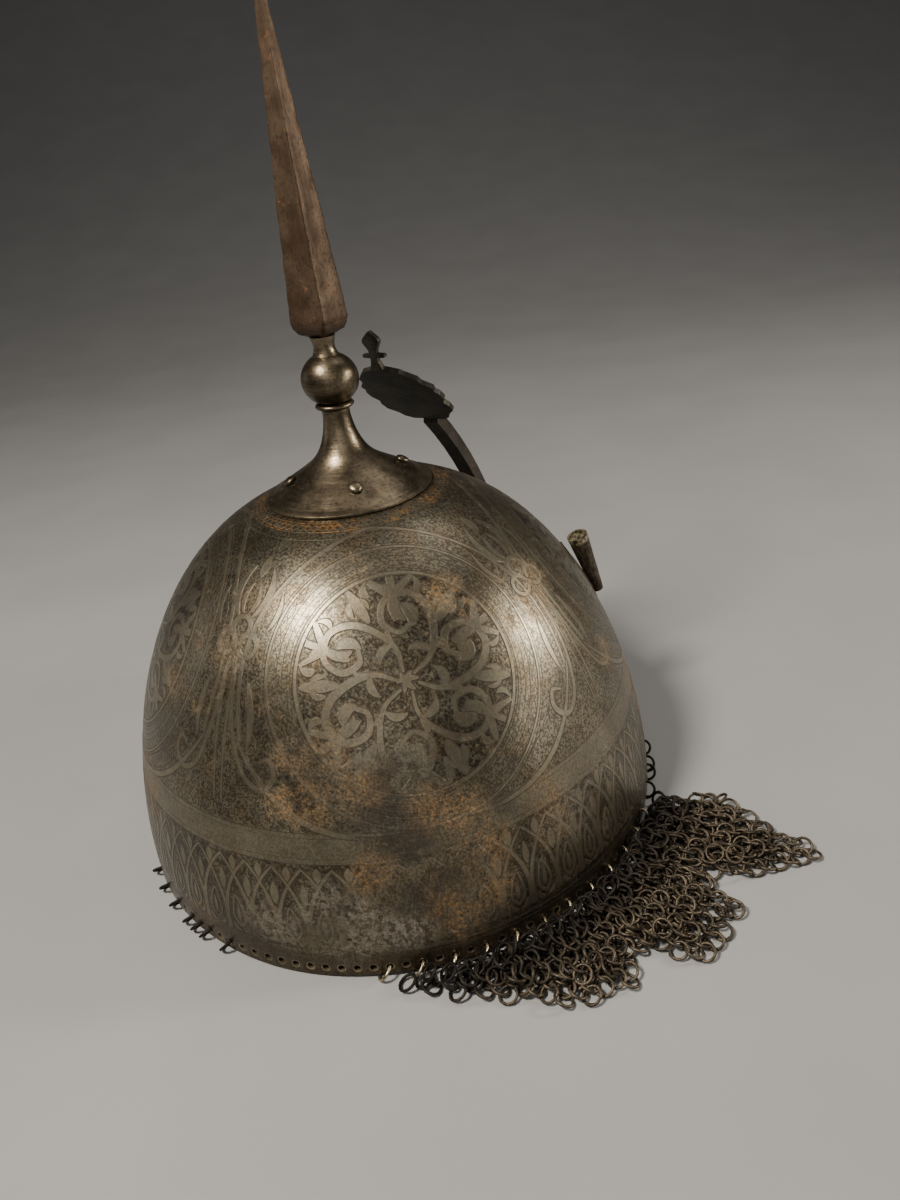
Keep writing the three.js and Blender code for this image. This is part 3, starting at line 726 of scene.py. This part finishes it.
def finial(foot_finish, spike_finish):
    """Foot, collar, knop and spike, each over its own solid."""
    foot_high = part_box("finial_foot")[1]
    foot_r = foot_high.y / MM
    foot_top = foot_high.z / MM
    seat = 0.3
    under = [(share * foot_r, RIM_Z + crown_rise(share * foot_r) + seat) for share in (0.0, 0.5, 0.8, 0.97)]
    edge_z = RIM_Z + crown_rise(foot_r) + seat
    lip = [(foot_r, edge_z + 0.15), (foot_r, edge_z + 0.75), (foot_r - 0.35, edge_z + 1.05)]
    trumpet_z = edge_z + 1.9
    over = [(radius * foot_r, trumpet_z + height * (foot_top - trumpet_z)) for radius, height in TRUMPET]
    over[0] = (over[0][0], edge_z + 1.55)
    foot = turned_piece("finial_trumpet", [*under, *lip, *smooth_curve(over, 70), (4.3, foot_top),
                                           (0, foot_top)], 144, foot_finish)
    dress(foot, "helmet", "finial_steel", "finial_foot")

    low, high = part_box("finial_collar")
    middle = (low.z + high.z) / 2 / MM
    half = (high.z - low.z) / 2 / MM
    reach = high.x / MM
    bead = [(reach - 1.5 + 1.5 * math.cos(t), middle + half * math.sin(t))
            for t in np.linspace(-math.pi / 2, math.pi / 2, 13)]
    collar = turned_piece("finial_bead", [(0, middle - half), *bead, (0, middle + half)],
                          72, foot_finish)
    dress(collar, "helmet", "finial_steel", "finial_collar")

    low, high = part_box("finial_knop")
    ball_r = high.y / MM
    low_z = low.z / MM
    top_z = high.z / MM
    squash = 0.92
    foot_half = 5.6
    neck_half = 4.4
    middle = low_z + squash * math.sqrt(ball_r ** 2 - foot_half ** 2)
    ball = [(ball_r * math.cos(t), middle + ball_r * squash * math.sin(t))
            for t in np.linspace(-math.acos(foot_half / ball_r), math.acos(neck_half / ball_r), 40)]
    neck_z = ball[-1][1]
    neck = smooth_curve([ball[-1], (3.75, neck_z + 1.4), (3.5, neck_z + 3.2), (4.2, top_z)], 16)[1:]
    knop = turned_piece("finial_ball", [(0, low_z), *ball, *neck, (0, top_z)], 96, foot_finish)
    dress(knop, "helmet", "finial_steel", "finial_knop")

    low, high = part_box("finial_spike")
    dress(forged_spike(low.z / MM, high.z / MM, high.x / MM * math.sqrt(2), spike_finish),
          "helmet", "spike_iron", "finial_spike")


def forged_spike(low_z, high_z, half, material):
    """The square spike: blunt edges, hammered faces and a slight waver."""
    chamfer = 4.8
    tip = 13.0
    blunt = 0.11
    outline = []
    for corner in range(4):
        middle = corner * math.pi / 2 + math.pi / 4
        for lean in (-blunt, -blunt / 2, 0.0, blunt / 2, blunt):
            outline.append((middle + lean, 1 - 0.8 * lean * lean * 4))
        for share in (0.2, 0.4, 0.6, 0.8):
            angle = middle + blunt + share * (math.pi / 2 - 2 * blunt)
            flat = math.cos(math.pi / 4) / math.cos(angle - middle - math.pi / 4)
            outline.append((angle, flat))
    angle = np.array([row[0] for row in outline])
    reach = np.array([row[1] for row in outline])
    heights = np.concatenate([np.linspace(low_z, low_z + chamfer, 9),
                              np.linspace(low_z + chamfer + 1, high_z - tip, 70),
                              np.linspace(high_z - tip + 1, high_z, 14)])
    size = np.interp(heights, [low_z, low_z + chamfer * 0.25, low_z + chamfer * 0.6, low_z + chamfer,
                               high_z - tip, high_z - 1.2, high_z],
                     [4.6, 7.6, half * 0.93, half, 1.7, 0.85, 0.35])
    dents = rng.normal(0, 1, (len(heights), len(angle)))
    for _ in range(3):
        dents = (dents + np.roll(dents, 1, 0) + np.roll(dents, -1, 0)
                 + np.roll(dents, 1, 1) + np.roll(dents, -1, 1)) / 5
    radius = size[:, None] * reach[None, :] * (1 + 0.012 * dents / max(dents.std(), 1e-6))
    radius = np.minimum(radius, half)
    grid = np.stack([radius * np.cos(angle), radius * np.sin(angle),
                     np.repeat(heights[:, None], len(angle), axis=1)], axis=-1)
    return closed_body("finial_spike_forged", grid, (0, 0, low_z), (0, 0, high_z), material, 34)


def rivet_heads(material):
    """Domed rivet heads over the four solids on the flange."""
    profile = ((1.0, 0.0), (1.0, 0.22), (0.97, 0.38), (0.88, 0.6), (0.7, 0.8), (0.45, 0.94), (0.2, 0.99))
    turn = full_turn(28)
    for index in range(1, 5):
        node = f"finial_rivet_{index}"
        points, middle, directions = lie_of(node)
        up = directions[2] * (1 if directions[2][2] > 0 else -1)
        side = np.cross(up, [0, 0, 1.0])
        side /= np.linalg.norm(side)
        other = np.cross(up, side)
        along = (points - middle) @ up
        foot = middle + up * along.min()
        height = along.max() - along.min()
        reach = RIVET_HEAD_R * (1 + 0.03 * np.sin(turn * 3 + index))
        circle = reach[:, None] * (np.cos(turn)[:, None] * side + np.sin(turn)[:, None] * other)
        rings = np.array([foot + circle * share + up * height * lift for share, lift in profile])
        head = closed_body(f"finial_rivet_head_{index}", rings, foot, foot + up * height, material)
        dress(head, "helmet", "finial_steel", node)


def dress(piece, body, slot, *replaced):
    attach(piece, body)
    if replaced:
        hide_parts(*replaced)


# Mail
WIRE_R = 0.5
RING_R = 2.9
COLUMN_PITCH = 4.9
ROW_PITCH = 3.2
MAIL_ROWS = 22
MAIL_LAYERS = 3
RIM_GAP = 4.4
LAYER_LIFT = 2.3
WEAVE_LEAN = 25.0
FIRST_RING_HOLE = -25
LOOP_HOLES = range(-50, -26, 2)

# Lobes of the remnant: middle and half width, in degrees from the brow
MAIL_LOBES = ((-140.0, 12.0), (-118.5, 10.5), (-101.0, 8.6), (-83.0, 10.0))


def ring_shape(around, section):
    """Points and faces of a wire ring with the flat lap where its ends are riveted."""
    angle = full_turn(around)
    turn = full_turn(section)
    lap = np.exp(-(np.minimum(angle, 2 * math.pi - angle) / 0.32) ** 2)
    radial = WIRE_R * (1 + 0.35 * lap)
    flat = WIRE_R * (1 - 0.12 * lap)
    reach = RING_R + radial[:, None] * np.cos(turn)[None, :]
    points = np.stack([reach * np.cos(angle)[:, None], reach * np.sin(angle)[:, None],
                       flat[:, None] * np.sin(turn)[None, :]], axis=-1).reshape(-1, 3)
    faces = []
    for row in range(around):
        low = row * section
        high = (row + 1) % around * section
        for k in range(section):
            n = (k + 1) % section
            faces.append((low + k, high + k, high + n, low + n))
    return points, faces


def add_ring(builder, shape, middle, turn):
    points, faces = shape
    builder.add(points @ np.asarray(turn).T + middle, faces)


def axes(first, normal):
    """A turn whose columns are a direction, its partner and a normal."""
    normal = normal / np.linalg.norm(normal)
    first = first - normal * (first @ normal)
    first = first / np.linalg.norm(first)
    return np.stack([first, np.cross(normal, first), normal], axis=1)


def node_ring(node):
    """Centre and turn of the ring in a node."""
    _, middle, directions = lie_of(node)
    return middle, axes(directions[0], directions[2])


def about_z(degrees):
    angle = math.radians(degrees)
    return np.array([[math.cos(angle), -math.sin(angle), 0],
                     [math.sin(angle), math.cos(angle), 0], [0, 0, 1]])


def random_tilt(amount):
    """A small random turn, in degrees about each axis."""
    x, y, z = np.radians(rng.normal(0, amount, 3))
    turn = Matrix.Rotation(x, 3, "X") @ Matrix.Rotation(y, 3, "Y") @ Matrix.Rotation(z, 3, "Z")
    return np.array(turn)


def rim_rings(material):
    """The single rings left in the rim's holes."""
    shape = ring_shape(22, 8)
    builder = Builder()
    names = sorted(name for name in nodes if name.startswith("rim_ring_"))
    for name in names:
        middle, turn = node_ring(name)
        add_ring(builder, shape, middle, turn @ about_z(rng.uniform(0, 360)))
    dress(builder.piece("rim_rings_loose", material), "helmet", "mail_iron", *names)


def mail_weave(material, loop_glint_material):
    """The remnant: rows of linked rings in torn lobes, heaped along the rim."""
    shape = ring_shape(14, 6)
    builder = Builder()
    solid = nodes["mail_curtain"]
    top = BVHTree.FromPolygons([v.co.copy() for v in solid.data.vertices],
                               [tuple(p.vertices) for p in solid.data.polygons])

    def height_at(x, y):
        hit = top.ray_cast(Vector((x * MM, y * MM, 0.05)), Vector((0, 0, -1)))[0]
        return None if hit is None else hit.z / MM

    base_middle, base_turn = node_ring("rim_ring_1")
    # The loops through the rim holes take the second finish: the same wire painted lighter, as a painted
    # glint.
    for hole in LOOP_HOLES:
        swing = about_z((hole - FIRST_RING_HOLE) * 360 / HOLE_COUNT)
        add_ring(builder, shape, swing @ base_middle, swing @ base_turn)
    builder.kinds = [1] * len(builder.faces)

    for layer in range(MAIL_LAYERS):
        for lobe, half_width in MAIL_LOBES:
            for row in range(MAIL_ROWS):
                reach = SKULL_R + RIM_GAP + row * ROW_PITCH * (1 - 0.06 * layer) + layer * 1.3
                steps = int(math.radians(half_width) * reach / COLUMN_PITCH) + 1
                for column in range(-steps, steps + 1):
                    offset = (column + 0.5 * (row % 2) + 0.33 * layer) * COLUMN_PITCH
                    turn = math.radians(lobe) + offset / reach
                    if abs(math.degrees(turn) - lobe) > half_width:
                        continue
                    wander = rng.normal(0, 0.35 + 0.25 * layer, 2)
                    x = reach * math.sin(turn) + wander[0]
                    y = -reach * math.cos(turn) + wander[1]
                    height = height_at(x, y)
                    if height is None or height < layer * 2.5 + 1.0:
                        continue
                    radial = np.array([math.sin(turn), -math.cos(turn), 0.0])
                    along = np.array([math.cos(turn), math.sin(turn), 0.0])
                    lean = math.radians(WEAVE_LEAN + 9 * layer) * (1 if row % 2 else -1)
                    normal = math.cos(lean) * np.array([0, 0, 1.0]) + math.sin(lean) * along
                    frame_turn = random_tilt(5 + 7 * layer) @ axes(radial, normal)
                    swing = about_z(rng.uniform(0, 360))
                    sag = abs(frame_turn[2, 2])
                    half_height = RING_R * math.sqrt(max(0.0, 1 - sag * sag)) + WIRE_R
                    lift = half_height + layer * LAYER_LIFT + abs(rng.normal(0, 0.25))
                    add_ring(builder, shape, np.array([x, y, lift]), frame_turn @ swing)
    builder.kinds += [0] * (len(builder.faces) - len(builder.kinds))
    dress(builder.piece("mail_remnant", material, loop_glint_material), "helmet", "mail_iron", "mail_curtain")


# Finishes
WORN_EDGE = 0.25


def spots(finish, places):
    """The sum of soft round patches, each with a turn, a rise, a radius and a strength."""
    return sum(finish.near(spot(turn, rise), radius * 0.25, radius) * strength
               for turn, rise, radius, strength in places)


RUST_PATCHES = (
    (-130, 51, 9, 1.0), (-127, 38, 11, 1.0), (-136, 21, 11, 0.8), (-127, 23, 8, 1.0), (-148, 39, 8, 0.8),
    (-163, 73, 7, 0.7), (-160, 60, 11, 0.9), (-165, 59, 8, 0.8), (-149, 64, 9, 0.8), (-154, 75, 8, 0.7),
    (-117, 108, 7, 0.9), (-124, 107, 6, 0.7), (-115, 103, 6, 0.8), (-112, 45, 9, 0.9), (-87, 101, 9, 0.7),
    (-94, 95, 7, 0.6), (-77, 65, 7, 1.0), (-66, 45, 13, 0.9), (-64, 30, 11, 0.7), (152, 43, 16, 0.7),
    (159, 84, 7, 0.6), (177, 98, 9, 0.5), (-163, 113, 5, 0.8), (-104, 95, 4, 0.9), (-135, 55, 10, 0.8),
    (-113, 32, 9, 0.6), (-134, 14, 9, 0.8), (-151, 36, 7, 0.6), (171, 8, 9, 0.6), (95, 60, 14, 0.8),
    (40, 30, 15, 0.8), (10, 92, 12, 0.6), (-35, 55, 13, 0.7), (120, 24, 12, 0.7), (70, 104, 10, 0.6),
)
DARK_PATCHES = (
    (-139, 48, 9, 0.9), (-142, 45, 8, 0.8), (-130, 44, 7, 0.7), (-140, 28, 9, 1.0), (-134, 30, 7, 0.8),
    (-155, 27, 9, 0.7), (-146, 54, 11, 0.9), (-142, 66, 12, 0.8), (-143, 19, 10, 0.8), (-128, 13, 8, 0.9),
    (179, 15, 9, 0.7), (-173, 8, 10, 0.7), (-134, 6, 12, 0.8), (-162, 18, 7, 0.6), (-142, 97, 3, 1.0),
    (-173, 73, 16, 0.3), (-101, 66, 13, 0.4), (60, 40, 18, 0.8), (140, 40, 15, 0.7),
    (0, 55, 16, 0.7), (-60, 30, 15, 0.5), (100, 90, 13, 0.6), (-20, 100, 12, 0.6),
)
PALE_PATCHES = (
    (-172, 23, 9, 0.7), (-168, 17, 8, 0.8), (-152, 23, 9, 1.0), (-148, 17, 8, 1.0), (-143, 15, 8, 1.0),
    (-158, 32, 7, 0.8), (-107, 35, 13, 0.6), (-95, 42, 10, 0.5), (-161, 26, 7, 0.8), (-152, 13, 7, 0.7),
    (-156, 9, 7, 0.8), (80, 30, 14, 0.8), (-45, 25, 12, 0.7), (20, 60, 12, 0.5),
)
# Where the ornament is rubbed away
RUBBED_PATCHES = (
    (-151, 24, 13, 1.0), (-141, 33, 15, 1.0), (-132, 35, 12, 0.9), (-161, 13, 12, 0.9), (-140, 18, 14, 1.0),
    (-145, 51, 13, 1.0), (-135, 57, 12, 0.9), (-151, 67, 14, 0.8), (-172, 17, 10, 0.8), (-128, 46, 12, 0.8),
    (-130, 16, 12, 0.7), (-138, 70, 12, 0.7), (50, 30, 25, 0.8), (130, 25, 18, 0.7), (-30, 22, 18, 0.6),
)


def skull_finish(name, part):
    """Old chiselled steel: olive grey, stippled ground, dark patina and brown rust.

    The part is the ground, a strap or a cut. All three share their colour where the ornament is worn.
    """
    made = Finish(name)
    height = made.axis(2) - RIM_Z
    cloud = made.noise(17, 5, 0.65, warp=0.6)
    hue = made.noise(9, 5, 0.75, shift=17.0)
    grain = made.noise(2.2, 4, 0.7)
    fine = made.noise(0.75, 3, 0.65)
    brush = made.noise(0.8, 2, 0.6, stretch=(1.0, 1.0, 0.12), shift=31.0)
    stipple = made.noise(0.8, 3, 0.65, shift=53.0)
    centres = [spot(turn, MEDALLION_RISE) for turn in MEDALLION_TURNS]
    field = sum(made.near(centre, ROUNDEL_R - 0.4, 0.5) for centre in centres)
    rings = sum(made.near(centre, MEDALLION_R, 0.5) for centre in centres) - field
    frieze = height.band((FRIEZE_LOW + BORDER_LOW) / 2, (BORDER_LOW - FRIEZE_LOW) / 2, 0.4)
    border = height.band((BORDER_LOW + BORDER_HIGH) / 2, (BORDER_HIGH - BORDER_LOW) / 2, 0.4)
    plain = (border + rings).least(1.0)
    rubbed = (spots(made, RUBBED_PATCHES) * 0.8 + made.noise(12, 5, 0.75, shift=83.0).step(0.47, 0.64) * 0.4
              - grain.step(0.42, 0.6) * 0.2).most(0.0).least(0.92)

    # Painted shade: the skull is darkened below about 70 mm rise, except on the side towards negative x.
    low_skull_painted_shade = height.step(70, 12) * made.axis(0).step(-94, -60)
    steel = made.layers(
        rgb(99, 92, 78),
        (cloud.step(0.34, 0.66), rgb(131, 124, 106)),
        (hue.step(0.46, 0.62) * 0.45, rgb(116, 97, 71)),
        (hue.step(0.48, 0.36) * 0.35, rgb(98, 99, 91)),
        (grain.step(0.42, 0.72) * 0.4, rgb(70, 62, 50)),
        (brush.step(0.5, 0.8) * 0.4, rgb(150, 142, 122)),
        # painted shade on the lower skull
        (low_skull_painted_shade * 0.34, rgb(60, 52, 41)),
    )
    speckle = stipple.step(0.48, 0.53)
    steel_rubbed = made.mix(speckle * 0.54, steel, rgb(48, 41, 34))
    if part == "strap":
        own = made.layers(steel, (0.26, rgb(150, 143, 124)), (speckle * 0.2, rgb(58, 51, 41)))
    elif part == "cut":
        own = made.mix(0.8, steel, rgb(44, 37, 29))
    else:
        clot = made.noise(1.35, 3, 0.6, shift=29.0).step(0.46, 0.54)
        own = made.layers(
            steel,
            (plain * 0.15, rgb(136, 129, 111)),
            (border * 0.3, rgb(124, 118, 102)),
            (speckle * (0.68 - plain * 0.1 - border * 0.28), rgb(42, 37, 30)),
            (clot * (field + frieze) * 0.5, rgb(38, 33, 27)),
        )

    pale_noise = made.noise(2.2, 5, 0.8, shift=11.0).step(0.46, 0.55)
    pale = spots(made, PALE_PATCHES).least(1.0) * pale_noise
    dark_cloud = made.noise(5, 6, 0.8, shift=5.0).step(0.36, 0.54)
    stray_dark = made.noise(14, 6, 0.8, shift=71.0).step(0.56, 0.7)
    dark = (spots(made, DARK_PATCHES) * dark_cloud + stray_dark * 0.3).least(1.0)
    rust_cloud = made.noise(5.5, 6, 0.8, shift=43.0)
    stray_rust = made.noise(10, 6, 0.8, shift=97.0).step(0.54, 0.7) * rust_cloud.step(0.44, 0.6)
    flecks = made.noise(1.1, 4, 0.75, shift=61.0)
    rust = (spots(made, RUST_PATCHES) * rust_cloud.step(0.38, 0.56) + stray_rust * 0.7).least(1.0)
    rust = rust * (0.4 + flecks.step(0.4, 0.54) * 0.6)
    rust_colour = made.mix(flecks.step(0.42, 0.62), rgb(82, 63, 42), rgb(136, 102, 54))
    gold_left = made.noise(9, 3, 0.6, shift=57.0).step(0.38, 0.62)
    worn_gold = made.noise(1.6, 3, 0.6, shift=3.0).step(0.42, 0.6) * gold_left
    gold = made.axis_distance().band(32.0, 2.6, 0.8) * height.step(100, 110) * worn_gold
    colour = made.layers(
        own,
        (rubbed, steel_rubbed),
        (dark * 0.78, rgb(42, 36, 30)),
        (pale * 0.62, rgb(150, 143, 130)),
        (rust * 0.6, rust_colour),
        (speckle * (rust * 0.4 + pale * 0.35).least(0.5), rgb(52, 42, 32)),
        (gold * 0.62, rgb(154, 113, 64)),
        (height.step(9.5, 7.5) * 0.5, rgb(64, 53, 40)),
    )

    dull = (rust * 0.9 + dark * 0.5).least(1.0)
    gloss = 0.27 + grain * 0.14 + dull * 0.3
    metal = 0.94 - rust * 0.42 - dark * 0.3
    relief = grain * 0.5 + fine * 0.35 + brush * 0.2 + rust * rust_cloud * 0.7
    if part == "cut":
        gloss = gloss + 0.15
        metal = metal - 0.25
    surface = made.bump(relief, 0.08, 0.8)
    return made.finish(Base_Color=colour, Roughness=gloss, Metallic=metal, Normal=surface)


def worn_iron(name, base, light, dark, rust_share, gloss, metal=0.85, scale=1.0, brushed=None):
    """Iron with worn light faces, dark pits and some brown rust."""
    made = Finish(name)
    cloud = made.noise(9 * scale, 4, 0.6, shift=7.0)
    grain = made.noise(1.3 * scale, 4, 0.7)
    colour = made.layers(base, (cloud.step(0.35, 0.65), light), (grain.step(0.48, 0.7) * 0.7, dark))
    if brushed:
        strokes = made.noise(0.6, 3, 0.6, stretch=brushed, shift=19.0)
        colour = made.mix(strokes.step(0.48, 0.75) * 0.5, colour, light)
        relief = grain * 0.6 + strokes * 0.7
    else:
        relief = grain
    rust = made.noise(5 * scale, 5, 0.75, shift=23.0).step(0.66 - rust_share * 0.4, 0.8 - rust_share * 0.3)
    colour = made.mix(rust * 0.75, colour, rgb(128, 78, 42))
    rough = gloss + grain * 0.15 + rust * 0.2
    surface = made.bump(relief, 0.12 * scale, 0.7)
    return made.finish(Base_Color=colour, Roughness=rough, Metallic=metal - rust * 0.45, Normal=surface)


def wire_finish():
    """Brown mail wire, with painted shade that makes it almost black near the rim."""
    made = Finish("mail_wire")
    cloud = made.noise(7, 4, 0.65, shift=7.0)
    grain = made.noise(1.1, 4, 0.7)
    radius = made.axis_distance()
    # Painted shade: wire within 107 mm of the axis is darkened almost to black, fading out by 125 mm.
    rim_painted_shade = radius.step(125, 107)
    rust = made.noise(5, 5, 0.75, shift=23.0).step(0.6, 0.74)
    colour = made.layers(
        rgb(58, 51, 41),
        (cloud.step(0.35, 0.65), rgb(92, 82, 68)),
        (grain.step(0.46, 0.66) * 0.7, rgb(30, 25, 20)),
        # painted shade under the rim
        (rim_painted_shade * 0.88, rgb(18, 16, 14)),
        (rust * 0.6, rgb(104, 68, 40)),
    )
    gloss = 0.44 + grain * 0.16 + rim_painted_shade * 0.1 + rust * 0.2
    surface = made.bump(grain, 0.1, 0.7)
    return made.finish(Base_Color=colour, Roughness=gloss, Metallic=0.78 - rust * 0.4, Normal=surface)


def tube_finish(name, node):
    """A plume tube: dark outside, its filled end pale and mottled."""
    made = Finish(name)
    points = node_points(node)
    middle = (points[:, 2].min() + points[:, 2].max()) / 2
    end = points[(skull_level(points) > 1.07) & (points[:, 2] > middle)].mean(axis=0)
    grain = made.noise(1.3, 4, 0.7)
    mottle = made.noise(2.0, 4, 0.75, shift=9.0)
    filled = made.near(end, 4.3, 0.4)
    pale = made.mix(mottle.step(0.42, 0.56), rgb(52, 46, 36), rgb(142, 133, 108))
    colour = made.layers(
        rgb(44, 37, 29),
        (mottle.step(0.4, 0.65), rgb(84, 74, 60)),
        (grain.step(0.5, 0.7) * 0.6, rgb(26, 22, 18)),
        (filled * 0.9, pale),
    )
    surface = made.bump(grain + mottle * filled * 2.0, 0.15, 0.8)
    gloss = 0.45 + grain * 0.2
    return made.finish(Base_Color=colour, Roughness=gloss, Metallic=0.75, Normal=surface)


def dress_nodes(names, material):
    """Kept solids: their finish, with slightly broken edges."""
    for name in names:
        piece = nodes[name]
        piece.data.materials.clear()
        piece.data.materials.append(material)
        edge = piece.modifiers.new("worn_edges", "BEVEL")
        edge.width = WORN_EDGE * MM
        edge.segments = 2
        edge.limit_method = "ANGLE"
        edge.angle_limit = math.radians(32)
        edge.harden_normals = False
        sharpen(piece, 42)


def floor():
    """A pale floor that sweeps up behind the helmet."""
    finish = Finish("pale_floor")
    tone = finish.noise(90, 3, 0.5)
    colour = finish.mix(tone.step(0.3, 0.7), rgb(132, 132, 132), rgb(136, 136, 136))
    size = 900
    sweep = 2600
    half_width = 4000
    cove = [(size + sweep * math.sin(angle), sweep * (1 - math.cos(angle)))
            for angle in np.linspace(0, math.pi / 2, 33)]
    profile = [(-3000, 0), (0, 0), *cove, (size + sweep, sweep + 1500)]
    ahead = np.array([CAMERA_AHEAD.x, CAMERA_AHEAD.y, 0.0])
    ahead /= np.linalg.norm(ahead)
    side = np.array([-ahead[1], ahead[0], 0.0])
    points = []
    for along, rise in profile:
        for across in (-half_width, half_width):
            points.append(ahead * along + side * across + np.array([0, 0, rise]))
    faces = [(2 * k, 2 * k + 1, 2 * k + 3, 2 * k + 2) for k in range(len(profile) - 1)]
    piece = make_mesh("floor", points, faces, finish.finish(Base_Color=colour, Roughness=0.75))


def light_scene():
    world = bpy.data.worlds.new("studio")
    bpy.context.scene.world = world
    world.use_nodes = True
    background = world.node_tree.nodes["Background"]
    background.inputs["Color"].default_value = rgb(150, 150, 152)
    background.inputs["Strength"].default_value = 0.24
    warm = (1.0, 0.93, 0.82)
    mild = (1.0, 0.95, 0.88)
    pale = (1.0, 0.96, 0.9)
    soft_light("window_left", (0.16, 0.54, 0.83), 0.9, 0.2, 16, warm)
    soft_light("window_right", (-0.83, -0.5, 0.3), 0.9, 0.15, 5.9, warm)
    soft_light("overhead", (-0.2, -0.42, 0.88), 1.8, 1.1, 5.6, pale)
    soft_light("left_fill", (0.95, 0.32, 0.14), 1.8, 0.9, 1.5, mild)
    soft_light("right_fill", (-0.92, -0.2, 0.03), 1.3, 0.5, 2.6, mild)
    soft_light("front_fill", -CAMERA_AHEAD, 1.7, 1.5, 5.5, pale)


place_camera()
light_scene()
floor()

ground_finish = skull_finish("chiselled_ground", "ground")
line_finish = skull_finish("chiselled_straps", "strap")
finial_finish = worn_iron("turned_steel", rgb(72, 63, 51), rgb(116, 105, 86), rgb(34, 29, 23),
                          0.1, 0.27, 0.94, brushed=(0.1, 0.1, 1.0))
spike_finish = worn_iron("forged_spike_iron", rgb(61, 46, 32), rgb(80, 65, 50), rgb(33, 25, 18),
                         0.16, 0.46, 0.72, brushed=(1.0, 1.0, 0.1))
dark_finish = worn_iron("dark_pitted_iron", rgb(38, 36, 31), rgb(66, 63, 53), rgb(18, 16, 14),
                        0.1, 0.48, 0.72)
bar_finish = worn_iron("bar_iron", rgb(46, 43, 39), rgb(66, 62, 55), rgb(27, 24, 21),
                       0.2, 0.52, 0.78)
mail_finish = wire_finish()

lip_finish = worn_iron("worn_hole_lips", rgb(120, 108, 88), rgb(158, 144, 120), rgb(74, 62, 48),
                       0.1, 0.34, 0.92)
dress(skull_shell(ground_finish, lip_finish), "helmet", "skull_steel", "skull_bowl")

ornament = Builder()
draw_bands(ornament)
draw_frieze(ornament)
for medallion_turn in MEDALLION_TURNS:
    medallion = Motif(ornament, medallion_turn, MEDALLION_RISE)
    draw_roundel(medallion)
    draw_ogee(medallion)
for palmette_turn in PALMETTE_TURNS:
    draw_palmette(Motif(ornament, palmette_turn, PALMETTE_RISE))
straps = ornament.piece("skull_ornament", line_finish, skull_finish("chiselled_cuts", "cut"))
sharpen(straps, 9)
dress(straps, "helmet", "skull_steel")

finial(finial_finish, spike_finish)
rivet_heads(finial_finish)
for side in ("right", "left"):
    holder = f"plume_holder_{side}"
    dress_nodes([holder], tube_finish(f"plume_tube_{side}", holder))
dress_nodes(["nasal_bar"], bar_finish)
dress_nodes(["nasal_bracket", "nasal_leaf", "bracket_rivet_right", "bracket_rivet_left",
             "nasal_rivet_low", "nasal_rivet_high"], dark_finish)
rim_rings(mail_finish)
# The tying loops: a lighter, glossier copy of the mail wire; its light colour is a painted highlight.
loop_glint_finish = worn_iron("loop_wire_painted_glint", rgb(128, 116, 94), rgb(176, 162, 136), rgb(70, 58, 44),
                        0.1, 0.28, 0.94, scale=0.5)
mail_weave(mail_finish, loop_glint_finish)
